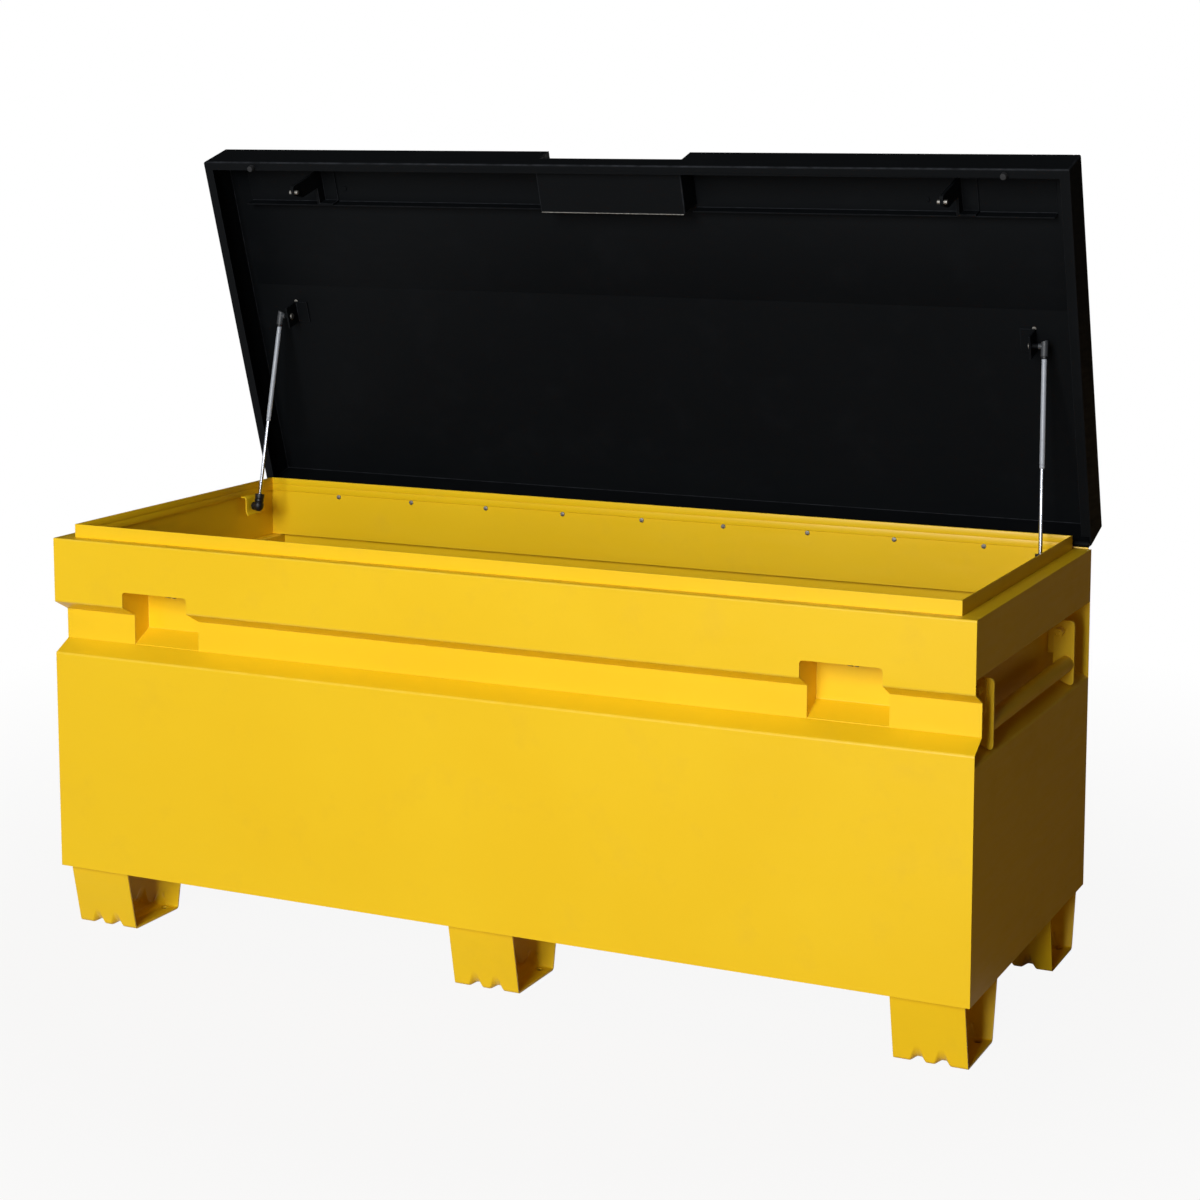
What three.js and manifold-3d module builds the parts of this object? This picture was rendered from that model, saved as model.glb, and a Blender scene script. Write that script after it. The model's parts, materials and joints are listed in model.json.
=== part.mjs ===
// Steel jobsite storage box: folded body on six feet, lid on a piano hinge, gas struts, swing-out handles.
// Millimetres, +X to the right, +Y to the back, +Z up. The model stands open, as it is used.
import * as THREE from 'three';
import { ConvexGeometry } from 'three/addons/geometries/ConvexGeometry.js';
import { mergeVertices } from 'three/addons/utils/BufferGeometryUtils.js';
import Module from 'manifold-3d';

const wasm = await Module();
wasm.setup();

// General
const seam = 0.3; // gap between pieces that touch
const overrun = 5; // how far a cutter passes beyond what it cuts
const roundSides = 16; // facets of a round piece
const knuckleSides = 12; // facets of a hinge knuckle
const cornerSteps = 4; // facets of a rounded corner
const weldReach = 1e-4; // points nearer than this are one point

// Body
const bodyWidth = 1524;
const bodyDepth = 610;
const footHeight = 101;
const bodyRise = 538; // from the body's lower edge to the ledge
const bodySheet = 2;
const bandHeight = 103; // plain band above the front groove
const upperChamferRise = 17;
const grooveHeight = 48;
const lowerChamferRise = 18;
const grooveDepth = 32;

// Raised rim round the mouth, set in from the body's faces
const rimRise = 21;
const rimInsetSide = 27;
const rimInsetFront = 21;
const rimInsetBack = 13.5;
const rimSheet = 2;
const linerJoggle = 2; // the inner wall lies this much outside the rim strip
const linerLap = 0.5; // thickness in which the inner wall and the strip are one
const linerJoin = 1; // how far the join reaches into each
const frontLinerDrop = 14;

// Handle recess in each end
const recessTop = 454; // above the body's lower edge
const recessLowerLip = 335;
const recessWallFoot = 355;
const recessDepth = 43;

// Handle
const armThickness = 5;
const armInset = 90; // from the front or back face to the arm's middle
const pivotDepth = 21; // in from the body's end face
const pivotRise = 424; // above the body's lower edge
const armInner = 12; // from the pivot to the arm's inner edge
const armAbove = 17; // from the pivot to the arm's top
const armFootClearance = 2;
const armCorner = 8;
const armFootCorner = 11;
const barRadius = 12.5;
const barWall = 2;
const barDrop = 51; // below the pivot
const handleBoltRadius = 5;
const handleHeadRadius = 8;
const handleHeadHeight = 5;
const lugThickness = 4;
const lugReach = 33; // out from the recess wall
const lugDrop = 36; // below the pivot
const lugCorner = 10;

// Padlock pockets behind the front groove
const pocketWidth = 121;
const pocketFromEnd = 192; // from the body's end face to the pocket's middle
const pocketTop = 460; // mouth's top edge above the body's lower edge
const pocketInsideTop = 474; // ceiling behind the mouth's top edge
const pocketDepth = 70;
const pocketCorner = 6;
const pocketSheet = 2;

// Feet
const footLength = 108.6;
const footEndMargin = 10.6;
const footTopWidth = 160;
const footBaseWidth = 118;
const footSheet = 3;
const frontFootSetback = 12;
const footHoleRadius = 5.5;
const footHoleFromEnd = 18;
const footHoleFromBend = 14;
const footRibWidth = 18;
const footRibHeight = 38;
const footRibDepth = 8;
const footRibReach = 12; // how far a rib runs under the foot
const footRibOverrun = 1; // how far the dent's outside stands off the sheet
const footRibPlaceShares = [-0.17, 0.17]; // of the foot's length, from its middle

// Hinge
const hingeStandOff = 5; // axis behind the body's back face
const hingeRise = 6; // axis above the ledge
const hingePinRadius = 2;
const knuckleRadius = 5;
const hingeLength = 1514;
const hingeKnuckles = 21;
const leafThickness = 2;
const leafWidth = 38;
const leafNotch = 5.5; // from the axis to a leaf's edge beside the other leaf's knuckle

// Lid, in its own frame: hinge axis at the origin, closed
const lidSetback = 3; // front skirt's outer face behind the body's front face
const lidHeight = 75; // from the hinge axis to the top sheet's outer face
const lidInset = 3; // the lid is this much narrower than the body at each end
const lidSheet = 2;
const lidBackOut = 4; // back skirt's outer face behind the hinge axis
const skirtLift = 4; // skirt's lower edge above the hinge axis
const backSkirtLift = 6.5;
const lidFlange = 15; // width of the return flange, from the outer face
const openAngle = THREE.MathUtils.degToRad(72.5);

// Lift recess in the lid's front edge
const liftWidth = 253;
const liftBack = 85; // from the lid's front face to the recess's back wall
const liftFloor = 21; // above the hinge axis
const liftLip = 37; // top of the grip lip above the hinge axis

// Stiffener angles inside the lid's front
const stiffenerLipBack = 94; // from the lid's front face to the angle's free lip
const stiffenerFrontBack = 12;
const stiffenerLipEdge = 51; // above the hinge axis
const stiffenerEndMargin = 43; // from the body's end face

// Lid bumpers
const bumperFromEnd = 101;
const bumperFromFront = 10;
const bumperRadius = 6.5;
const bumperStemRadius = 4;
const bumperHeadHeight = 2.5;

// Lock hooks: distances back from the lid's front face, and up from the hinge axis
const hookThickness = 5;
const hookFrontBack = 33;
const hookWidth = 28;
const hookTip = -26;
const hookPinUp = -20;
const hookPinLead = 2; // the cross pin lies this much ahead of the lever's pivot
const hookPinRadius = 3.5;
const hookPinLength = 16;
const hookFootWidth = 28;
const hookFootSheet = 3;
const hookFootEdge = 48; // lower edge of the foot's turned-down end

// Latch lever in each pocket
const leverPivotBack = 50; // behind the body's front face
const leverPivotUp = 583; // above the floor
const leverPinRadius = 4;
const leverHub = 8; // half the lever's depth at its pivot
const leverForkGap = 8;
const leverForkPlate = 3;
const leverTailThickness = 6;
const leverTailLength = 34;
const leverRelease = THREE.MathUtils.degToRad(20);
const leverEarThickness = 3;
const leverEarGap = 1.5;
const leverEarHalfDepth = 14;
const leverEarAbove = 11;
const padlockHoleRadius = 6;
const padlockHoleDrop = 22; // below the lever's pivot
const staplePlate = 4;
const stapleGap = 5;
const stapleHalfDepth = 15;
const stapleBelowHole = 11;

// Gas struts
const ballInsetTop = 70; // in from the body's end face
const ballForward = 311; // upper ball, in the lid's frame
const ballUp = 48;
const ballInsetFoot = 54;
const footBallFromBack = 100; // from the body's back face
const footBallRise = 520; // above the body's lower edge
const cylinderRadius = 5.75;
const cylinderWall = 1.4;
const cylinderLength = 166;
const cylinderNose = 4;
const rodRadius = 3.5;
const rodInside = 22; // rod still inside the cylinder when the lid stands open
const socketRadius = 8;
const socketReach = 22; // from the ball's middle to the socket's end
const socketCap = 9;
const studRadius = 4;

// Strut brackets
const lidBracketInset = 89; // leg's outboard face, in from the body's end face
const lidBracketSheet = 3;
const lidBracketBase = 22;
const lidBracketHalfLength = 19;
const lidBracketEdge = 37;
const bodyBracketLeg = 42; // leg's inner face, in from the body's end face
const bodyBracketSheet = 3;
const bodyBracketFromBack = 75; // from the body's back face
const bodyBracketLength = 43;
const bodyBracketDrop = 39;

// Derived places
const halfWidth = bodyWidth / 2;
const bodyBottom = footHeight;
const ledgeTop = bodyBottom + bodyRise;
const rimTop = ledgeTop + rimRise;
const bandBottom = ledgeTop - bandHeight;
const grooveTop = bandBottom - upperChamferRise;
const grooveBottom = grooveTop - grooveHeight;
const lowerPanelTop = grooveBottom - lowerChamferRise;
const hingeBack = bodyDepth + hingeStandOff;
const hingeUp = ledgeTop + hingeRise;
const mouthTop = bodyBottom + pocketTop;
const pocketCeiling = bodyBottom + pocketInsideTop;
const pocketCentres = [pocketFromEnd - halfWidth, halfWidth - pocketFromEnd];
const armCentre = bodyDepth / 2 - armInset;
const footBallBack = bodyDepth - footBallFromBack;
const bodyBracketBack = bodyDepth - bodyBracketFromBack;
const bodyBracketFront = bodyBracketBack - bodyBracketLength;
const lidHalf = halfWidth - lidInset;
const lidReach = hingeBack - lidSetback; // from the hinge axis to the front skirt's outer face
const stiffenerBack = lidReach - stiffenerLipBack;
const stiffenerFront = lidReach - stiffenerFrontBack;
const hookFront = lidReach - hookFrontBack;
const hookBack = hookFront - hookWidth;
const hookPinForward = hingeBack - leverPivotBack + hookPinLead;
const lidInside = lidHeight - lidSheet;
const lidBackReach = hingeBack + lidBackOut * Math.cos(openAngle) + lidHeight * Math.sin(openAngle);
const originBack = lidBackReach / 2;
const sides = [{ name: 'left', sign: -1 }, { name: 'right', sign: 1 }];

// Finishes
const yellowPowderCoat = new THREE.MeshStandardMaterial({ color: 0xf2c31b, roughness: 0.38, metalness: 0.1 });
const blackPowderCoat = new THREE.MeshStandardMaterial({ color: 0x15171b, roughness: 0.42, metalness: 0.1 });
const zincPlate = new THREE.MeshStandardMaterial({ color: 0xb9bcc0, roughness: 0.32, metalness: 0.9 });
const chromedRod = new THREE.MeshStandardMaterial({ color: 0xd8dade, roughness: 0.12, metalness: 1 });
const greyPaint = new THREE.MeshStandardMaterial({ color: 0x8d9299, roughness: 0.3, metalness: 0.6 });
const blackNylon = new THREE.MeshStandardMaterial({ color: 0x1b1c1e, roughness: 0.55, metalness: 0 });
const blackRubber = new THREE.MeshStandardMaterial({ color: 0x141414, roughness: 0.85, metalness: 0 });

// Solids: closed meshes that can be joined and cut
function toSolid(geometry) {
  const plain = geometry.index ? geometry.clone() : geometry;
  plain.deleteAttribute('normal');
  plain.deleteAttribute('uv');
  const merged = mergeVertices(plain, weldReach);
  const vertProperties = new Float32Array(merged.attributes.position.array);
  const triVerts = new Uint32Array(merged.index.array);
  return new wasm.Manifold(new wasm.Mesh({ numProp: 3, vertProperties, triVerts }));
}

function toGeometry(solid) {
  const mesh = solid.getMesh();
  const geometry = new THREE.BufferGeometry();
  geometry.setAttribute('position', new THREE.BufferAttribute(mesh.vertProperties, mesh.numProp));
  geometry.setIndex(new THREE.BufferAttribute(mesh.triVerts, 1));
  geometry.computeVertexNormals();
  return geometry;
}

function join(first, ...others) {
  let solid = toSolid(first);
  for (const other of others) solid = solid.add(toSolid(other));
  return toGeometry(solid);
}

function cut(first, ...tools) {
  let solid = toSolid(first);
  for (const tool of tools) solid = solid.subtract(toSolid(tool));
  return toGeometry(solid);
}

function common(first, second) {
  return toGeometry(toSolid(first).intersect(toSolid(second)));
}

function block(x0, x1, y0, y1, z0, z1) {
  const geometry = new THREE.BoxGeometry(x1 - x0, y1 - y0, z1 - z0);
  return geometry.translate((x0 + x1) / 2, (y0 + y1) / 2, (z0 + z1) / 2);
}

// A closed shape from corners [a, b] or [a, b, radius]
function shapeOf(corners) {
  const shape = new THREE.Shape();
  corners.forEach(([a, b, radius = 0], index) => {
    const here = new THREE.Vector2(a, b);
    const before = new THREE.Vector2(...corners.at(index - 1));
    const after = new THREE.Vector2(...corners[(index + 1) % corners.length]);
    const start = here.clone().add(before.sub(here).setLength(radius));
    const end = here.clone().add(after.sub(here).setLength(radius));
    if (index === 0) shape.moveTo(start.x, start.y);
    else shape.lineTo(start.x, start.y);
    if (radius > 0) shape.quadraticCurveTo(a, b, end.x, end.y);
  });
  shape.closePath();
  return shape;
}

function extruded(corners, length) {
  const options = { depth: length, bevelEnabled: false, curveSegments: cornerSteps };
  return new THREE.ExtrudeGeometry(shapeOf(corners), options);
}

// Corners are [y, z], the length runs along X
function prismX(corners, x0, x1) {
  const turn = new THREE.Matrix4().makeBasis(
    new THREE.Vector3(0, 1, 0), new THREE.Vector3(0, 0, 1), new THREE.Vector3(1, 0, 0));
  return extruded(corners, x1 - x0).applyMatrix4(turn).translate(x0, 0, 0);
}

// Corners are [x, z], the length runs along Y
function prismY(corners, y0, y1) {
  const turn = new THREE.Matrix4().makeBasis(
    new THREE.Vector3(1, 0, 0), new THREE.Vector3(0, 0, 1), new THREE.Vector3(0, -1, 0));
  return extruded(corners, y1 - y0).applyMatrix4(turn).translate(0, y1, 0);
}

function rodX(radius, x0, x1, y, z, facets = roundSides) {
  const geometry = new THREE.CylinderGeometry(radius, radius, x1 - x0, facets);
  return geometry.rotateZ(Math.PI / 2).translate((x0 + x1) / 2, y, z);
}

function rodY(radius, x, y0, y1, z) {
  const geometry = new THREE.CylinderGeometry(radius, radius, y1 - y0, roundSides);
  return geometry.translate(x, (y0 + y1) / 2, z);
}

function rodZ(radius, x, y, z0, z1) {
  const geometry = new THREE.CylinderGeometry(radius, radius, z1 - z0, roundSides);
  return geometry.rotateX(Math.PI / 2).translate(x, y, (z0 + z1) / 2);
}

// A bent line moved to its left by a distance, with mitred corners
function offsetLine(line, distance) {
  const normals = line.slice(1).map((point, index) => {
    const run = new THREE.Vector2(point[0] - line[index][0], point[1] - line[index][1]).normalize();
    return new THREE.Vector2(-run.y, run.x);
  });
  return line.map(([a, b], index) => {
    const before = normals[Math.max(index - 1, 0)];
    const after = normals[Math.min(index, normals.length - 1)];
    const mitre = before.clone().add(after).multiplyScalar(distance / (1 + before.dot(after)));
    return [a + mitre.x, b + mitre.y];
  });
}

// Section of a folded sheet whose outer face follows a line
function sheetSection(line, thickness) {
  return [...line, ...offsetLine(line, thickness).reverse()];
}

const scene = new THREE.Group();
const model = new THREE.Group();
model.position.set(0, -originBack, 0);
scene.add(model);

function addPiece(parent, name, geometry, material) {
  const mesh = new THREE.Mesh(geometry, material);
  mesh.name = name;
  parent.add(mesh);
  return mesh;
}

// Front: ledge, band, groove and lower panel. Points are [y, z].
function frontLine(ledgeEdge, lowerEnd) {
  return [
    [ledgeEdge, ledgeTop],
    [0, ledgeTop],
    [0, bandBottom],
    [grooveDepth, grooveTop],
    [grooveDepth, grooveBottom],
    [0, lowerPanelTop],
    [0, lowerEnd],
  ];
}

// Space that the front panel takes, for what ends against its inner face
function frontKeepOut() {
  const line = frontLine(rimInsetFront, bodyBottom - overrun);
  const inner = offsetLine(line, bodySheet + seam);
  inner[0][0] = rimInsetFront;
  const outer = [
    [-overrun, bodyBottom - overrun],
    [-overrun, ledgeTop + overrun],
    [rimInsetFront, ledgeTop + overrun],
  ];
  return prismX([...inner, ...outer], -bodyWidth, bodyWidth);
}

function pocketMouth(centre) {
  const half = pocketWidth / 2;
  const corners = [
    [centre - half, grooveBottom],
    [centre + half, grooveBottom],
    [centre + half, mouthTop, pocketCorner],
    [centre - half, mouthTop, pocketCorner],
  ];
  return prismY(corners, -overrun, grooveDepth + bodySheet + overrun);
}

function wholeFront() {
  const section = sheetSection(frontLine(rimInsetFront - seam, bodyBottom), bodySheet);
  const sheet = prismX(section, -halfWidth, halfWidth);
  return cut(sheet, ...pocketCentres.map(pocketMouth));
}

// Space under the outer face of the groove's lower chamfer
function underGroove(gap) {
  const slope = lowerChamferRise / grooveDepth;
  const faceAt = (y) => lowerPanelTop + slope * y + gap;
  const back = grooveDepth + bodySheet + overrun;
  const corners = [
    [-overrun, bodyBottom - overrun],
    [back, bodyBottom - overrun],
    [back, faceAt(back)],
    [-overrun, faceAt(-overrun)],
  ];
  return prismX(corners, -bodyWidth, bodyWidth);
}

// Upper sheet: ledge, band and groove, standing on the lower chamfer
function frontBand() {
  return cut(wholeFront(), underGroove(seam));
}

// Lower sheet: lower chamfer and panel
function frontPanel() {
  return common(wholeFront(), underGroove(0));
}

// Back panel with its top flange. Depths are taken in from the back face.
function backPanel() {
  const depthLine = [
    [rimInsetBack - seam, ledgeTop],
    [0, ledgeTop],
    [0, bodyBottom],
  ];
  const section = sheetSection(depthLine, bodySheet).map(([depth, z]) => [bodyDepth - depth, z]);
  return prismX(section, -halfWidth, halfWidth);
}

// Side panel with the handle recess folded in. Insets are taken in from the end face.
function sidePanel(sign) {
  const insetLine = [
    [rimInsetSide - seam, ledgeTop],
    [0, ledgeTop],
    [0, bodyBottom + recessTop],
    [recessDepth, bodyBottom + recessTop],
    [recessDepth, bodyBottom + recessWallFoot],
    [0, bodyBottom + recessLowerLip],
    [0, bodyBottom],
  ];
  const section = sheetSection(insetLine, bodySheet).map(([inset, z]) => [sign * (halfWidth - inset), z]);
  const margin = bodySheet + seam;
  const panel = prismY(section, margin, bodyDepth - margin);
  const backLedge = block(
    -bodyWidth, bodyWidth, bodyDepth - rimInsetBack, bodyDepth, ledgeTop - margin, ledgeTop + overrun);
  return cut(panel, frontKeepOut(), backLedge);
}

function floorPanel() {
  const margin = bodySheet + seam;
  const half = halfWidth - margin;
  return block(-half, half, margin, bodyDepth - margin, bodyBottom, bodyBottom + bodySheet);
}

// Rim strip round the mouth, and the inner wall that hangs from it
function rimFrame() {
  const half = halfWidth - rimInsetSide;
  const back = bodyDepth - rimInsetBack;
  const front = rimInsetFront;
  const ring = (outward, thickness, z0, z1) => {
    const inward = thickness - outward;
    const outer = block(-half - outward, half + outward, front - outward, back + outward, z0, z1);
    const inner = block(
      -half + inward, half - inward, front + inward, back - inward, z0 - overrun, z1 + overrun);
    return cut(outer, inner);
  };
  const stripFoot = ledgeTop - bodySheet;
  const strip = ring(0, rimSheet, stripFoot, rimTop);
  const linerTop = stripFoot - seam;
  const web = ring(0, linerLap, linerTop - linerJoin, stripFoot + linerJoin);
  const linerFoot = bodyBottom + recessTop + bodySheet + seam;
  const liner = ring(linerJoggle, linerJoggle + linerLap, linerFoot, linerTop);
  const reliefHalf = half - rimSheet;
  const frontRelief = block(
    -reliefHalf, reliefHalf, 0, front + rimSheet, linerFoot - overrun, ledgeTop - frontLinerDrop);
  return join(strip, web, cut(liner, frontRelief, frontKeepOut()));
}

// Padlock pocket: open to the front, its floor runs on from the groove's lower chamfer
function lockPocket(centre) {
  const slope = lowerChamferRise / grooveDepth;
  const space = (extra, back) => {
    const half = pocketWidth / 2 + extra;
    const mouth = prismY([
      [centre - half, bodyBottom],
      [centre + half, bodyBottom],
      [centre + half, pocketCeiling + extra],
      [centre - half, pocketCeiling + extra],
    ], -overrun, back);
    const floorLine = (y) => lowerPanelTop + slope * y - extra;
    const above = prismX([
      [-bodyDepth, floorLine(-bodyDepth)],
      [bodyDepth, floorLine(bodyDepth)],
      [bodyDepth, ledgeTop + bodyDepth],
      [-bodyDepth, ledgeTop + bodyDepth],
    ], centre - bodyWidth, centre + bodyWidth);
    return common(mouth, above);
  };
  const shell = cut(space(pocketSheet, pocketDepth + pocketSheet), space(0, pocketDepth), frontKeepOut());
  const forkHalf = leverForkGap / 2 + leverForkPlate;
  const earInner = forkHalf + leverEarGap;
  const ears = [-1, 1].map((sign) => {
    const a = centre + sign * earInner;
    const b = a + sign * leverEarThickness;
    const corners = [
      [leverPivotBack - leverEarHalfDepth, pocketCeiling + pocketSheet / 2],
      [leverPivotBack + leverEarHalfDepth, pocketCeiling + pocketSheet / 2],
      [leverPivotBack + leverEarHalfDepth, leverPivotUp + leverEarAbove, pocketCorner],
      [leverPivotBack - leverEarHalfDepth, leverPivotUp + leverEarAbove, pocketCorner],
    ];
    return prismX(corners, Math.min(a, b), Math.max(a, b));
  });
  const slotHalf = forkHalf + leverEarGap / 2;
  const sweep = (leverPivotUp - pocketCeiling) * Math.tan(leverRelease);
  const slotFront = leverPivotBack - sweep - leverHub / Math.cos(leverRelease) - leverEarGap;
  const slotBack = leverPivotBack + leverHub + leverEarGap;
  const slot = block(
    centre - slotHalf, centre + slotHalf, slotFront, slotBack,
    pocketCeiling - overrun, pocketCeiling + overrun);
  const bore = rodX(
    leverPinRadius + seam, centre - pocketWidth, centre + pocketWidth, leverPivotBack, leverPivotUp);
  return cut(join(shell, ...ears), slot, bore);
}

// Padlock staple beside the lever's tail
function padlockStaple(centre) {
  const inner = centre + leverTailThickness / 2 + stapleGap;
  const holeUp = leverPivotUp - padlockHoleDrop;
  const corners = [
    [leverPivotBack - stapleHalfDepth, pocketCeiling - seam],
    [leverPivotBack - stapleHalfDepth, holeUp - stapleBelowHole, pocketCorner],
    [leverPivotBack + stapleHalfDepth, holeUp - stapleBelowHole, pocketCorner],
    [leverPivotBack + stapleHalfDepth, pocketCeiling - seam],
  ];
  const plate = prismX(corners, inner, inner + staplePlate);
  const hole = rodX(
    padlockHoleRadius, inner - overrun, inner + staplePlate + overrun, leverPivotBack, holeUp);
  return cut(plate, hole);
}

// Latch lever about its pivot, in the latched place. Points are [y, z] from the pivot.
function latchLever() {
  const pinY = hingeBack - hookPinForward - leverPivotBack;
  const pinZ = hingeUp + hookPinUp - leverPivotUp;
  const grip = hookPinRadius + 2 * seam;
  const hub = leverHub;
  const noseTop = pinZ + grip + hookPinRadius * 2;
  const heel = pinY + grip + hookPinRadius * 3;
  const forkCorners = [
    [-hub, -hub, leverPinRadius],
    [hub, -hub, leverPinRadius],
    [heel, pinZ - grip],
    [heel, noseTop, leverPinRadius],
    [pinY - grip, noseTop, leverPinRadius / 2],
    [pinY - grip, pinZ + grip],
    [pinY + grip, pinZ + grip],
    [pinY + grip, pinZ - grip],
    [-hub, hub],
  ];
  const forkHalf = leverForkGap / 2 + leverForkPlate;
  const fork = prismX(forkCorners, -forkHalf, forkHalf);
  const hookSpace = block(
    -leverForkGap / 2, leverForkGap / 2, -bodyDepth, bodyDepth, hub, leverPivotUp);
  const tailCorners = [
    [-hub, 0],
    [-hub, -leverTailLength, leverPinRadius],
    [hub, -leverTailLength, leverPinRadius],
    [hub, 0],
  ];
  const tail = prismX(tailCorners, -leverTailThickness / 2, leverTailThickness / 2);
  const pivotBore = rodX(leverPinRadius + seam, -pocketWidth, pocketWidth, 0, 0);
  const padlockBore = rodX(padlockHoleRadius, -pocketWidth, pocketWidth, 0, -padlockHoleDrop);
  return cut(join(cut(fork, hookSpace), tail), pivotBore, padlockBore);
}

// Folded U foot with pressed ribs across its bends, about its own middle
function foot() {
  const topHalf = footTopWidth / 2;
  const baseHalf = footBaseWidth / 2;
  const rise = footHeight;
  const lean = (topHalf - baseHalf) / rise;
  const line = [
    [-topHalf - lean * overrun, rise + overrun],
    [-baseHalf, 0],
    [baseHalf, 0],
    [topHalf + lean * overrun, rise + overrun],
  ];
  const half = footLength / 2;
  const channel = prismX(sheetSection(line, footSheet), -half, half);
  const above = block(-footLength, footLength, -footTopWidth, footTopWidth, rise - seam, rise + 2 * overrun);
  const ribs = [];
  for (const bend of [-1, 1]) {
    for (const share of footRibPlaceShares) ribs.push([bend, share * footLength]);
  }
  const ribbed = join(channel, ...ribs.map(([bend, x]) => footRib(bend, x, footSheet)));
  const dented = cut(ribbed, ...ribs.map(([bend, x]) => footRib(bend, x, 0)), above);
  const holes = [-1, 1].flatMap((endSign) => [-1, 1].map((bendSign) => rodZ(
    footHoleRadius, endSign * (half - footHoleFromEnd), bendSign * (baseHalf - footHoleFromBend),
    -overrun, footSheet + overrun)));
  return cut(dented, ...holes);
}

// Pressed rib: a three-cornered dent across a bend, deepest on the bend's corner
function footRib(bend, x, wall) {
  const baseHalf = footBaseWidth / 2;
  const lean = (footTopWidth - footBaseWidth) / 2 / footHeight;
  const width = footRibWidth / 2 + wall;
  const up = footRibHeight + wall;
  const along = footRibReach + wall;
  const deep = footRibDepth + wall;
  const corner = [bend * baseHalf, 0];
  const outside = [bend * (baseHalf + footRibDepth), -footRibDepth];
  const outward = wall > 0 ? 0 : footRibOverrun;
  const skin = wall > 0 ? corner : outside;
  const points = [
    [x, corner[0] + bend * (lean * up + outward), up],
    [x, corner[0] - bend * deep * Math.SQRT1_2, deep * Math.SQRT1_2],
    [x, corner[0] - bend * along, -outward],
    [x - width, corner[0], corner[1]],
    [x + width, corner[0], corner[1]],
    [x, skin[0], skin[1]],
  ];
  return hull(points);
}

// Closed mesh round a few points that form a convex body
function hull(points) {
  return new ConvexGeometry(points.map((point) => new THREE.Vector3(...point)));
}

// Handle pieces, about the pivot's axis. Insets grow towards the recess wall.
function handleArm(sign, centreY) {
  const slope = (recessWallFoot - recessLowerLip) / recessDepth;
  const footAt = (out) => {
    const inset = pivotDepth - out;
    return recessLowerLip + slope * inset + armFootClearance - pivotRise;
  };
  const corners = [
    [-armInner, armAbove, armCorner],
    [pivotDepth, armAbove, armCorner],
    [pivotDepth, footAt(pivotDepth), armFootCorner],
    [-armInner, footAt(-armInner), armFootCorner / 2],
  ].map(([out, z, radius]) => [sign * out, z, radius]);
  const half = armThickness / 2;
  const plate = prismY(corners, centreY - half, centreY + half);
  return cut(plate, rodY(handleBoltRadius + seam, 0, centreY - half - overrun, centreY + half + overrun, 0));
}

function handleBar(sign) {
  const end = armCentre - armThickness / 2 - seam;
  const x = sign * (pivotDepth - barRadius - seam);
  const outer = rodY(barRadius, x, -end, end, -barDrop);
  return cut(outer, rodY(barRadius - barWall, x, -end - overrun, end + overrun, -barDrop));
}

function handleLug(sign, endSign) {
  const inner = recessDepth - seam;
  const outer = recessDepth - lugReach;
  const up = bodyBottom + pivotRise;
  const corners = [
    [inner, up + armAbove],
    [outer, up + armAbove, lugCorner],
    [outer, up - lugDrop, lugCorner],
    [inner, up - lugDrop],
  ].map(([inset, z, radius]) => [sign * (halfWidth - inset), z, radius]);
  const near = armCentre + armThickness / 2 + seam;
  const far = near + lugThickness;
  const y0 = bodyDepth / 2 + Math.min(endSign * near, endSign * far);
  const y1 = bodyDepth / 2 + Math.max(endSign * near, endSign * far);
  const plate = prismY(corners, y0, y1);
  const x = sign * (halfWidth - pivotDepth);
  return cut(plate, rodY(handleBoltRadius + seam, x, y0 - overrun, y1 + overrun, up));
}

function handleBolt(sign, endSign) {
  const armNear = armCentre - armThickness / 2 - seam;
  const lugFar = armCentre + armThickness / 2 + 2 * seam + lugThickness;
  const x = sign * (halfWidth - pivotDepth);
  const z = bodyBottom + pivotRise;
  const span = (a, b, radius) => {
    const y0 = bodyDepth / 2 + Math.min(endSign * a, endSign * b);
    const y1 = bodyDepth / 2 + Math.max(endSign * a, endSign * b);
    return rodY(radius, x, y0, y1, z);
  };
  const nut = span(armNear - handleHeadHeight, armNear, handleHeadRadius);
  const head = span(lugFar, lugFar + handleHeadHeight, handleHeadRadius);
  const shank = span(armNear - handleHeadHeight / 2, lugFar + handleHeadHeight / 2, handleBoltRadius);
  return join(shank, nut, head);
}

// Hinge leaf with every second knuckle, about the hinge axis. The plate runs up or down beside the pin.
function hingeLeaf(isLid) {
  const step = hingeLength / hingeKnuckles;
  const start = -hingeLength / 2;
  const plateNear = isLid ? lidBackOut + seam : seam - hingeStandOff;
  const upSign = isLid ? 1 : -1;
  const plateZ = (a, b) => [Math.min(upSign * a, upSign * b), Math.max(upSign * a, upSign * b)];
  const [z0, z1] = plateZ(leafNotch, leafWidth);
  const plate = block(start, start + hingeLength, plateNear, plateNear + leafThickness, z0, z1);
  const pieces = [];
  const bores = [];
  for (let index = 0; index < hingeKnuckles; index += 1) {
    if ((index % 2 === 0) !== isLid) continue;
    const x0 = start + index * step + seam / 2;
    const x1 = x0 + step - seam;
    const [t0, t1] = plateZ(0, leafNotch + seam);
    pieces.push(rodX(knuckleRadius, x0, x1, 0, 0, knuckleSides));
    pieces.push(block(x0, x1, plateNear, plateNear + leafThickness, t0, t1));
    bores.push(rodX(hingePinRadius + seam, x0 - seam, x1 + seam, 0, 0, knuckleSides));
  }
  return cut(join(plate, ...pieces), ...bores);
}

function hingePin() {
  return rodX(hingePinRadius, -hingeLength / 2, hingeLength / 2, hingeBack, hingeUp, knuckleSides);
}

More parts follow.
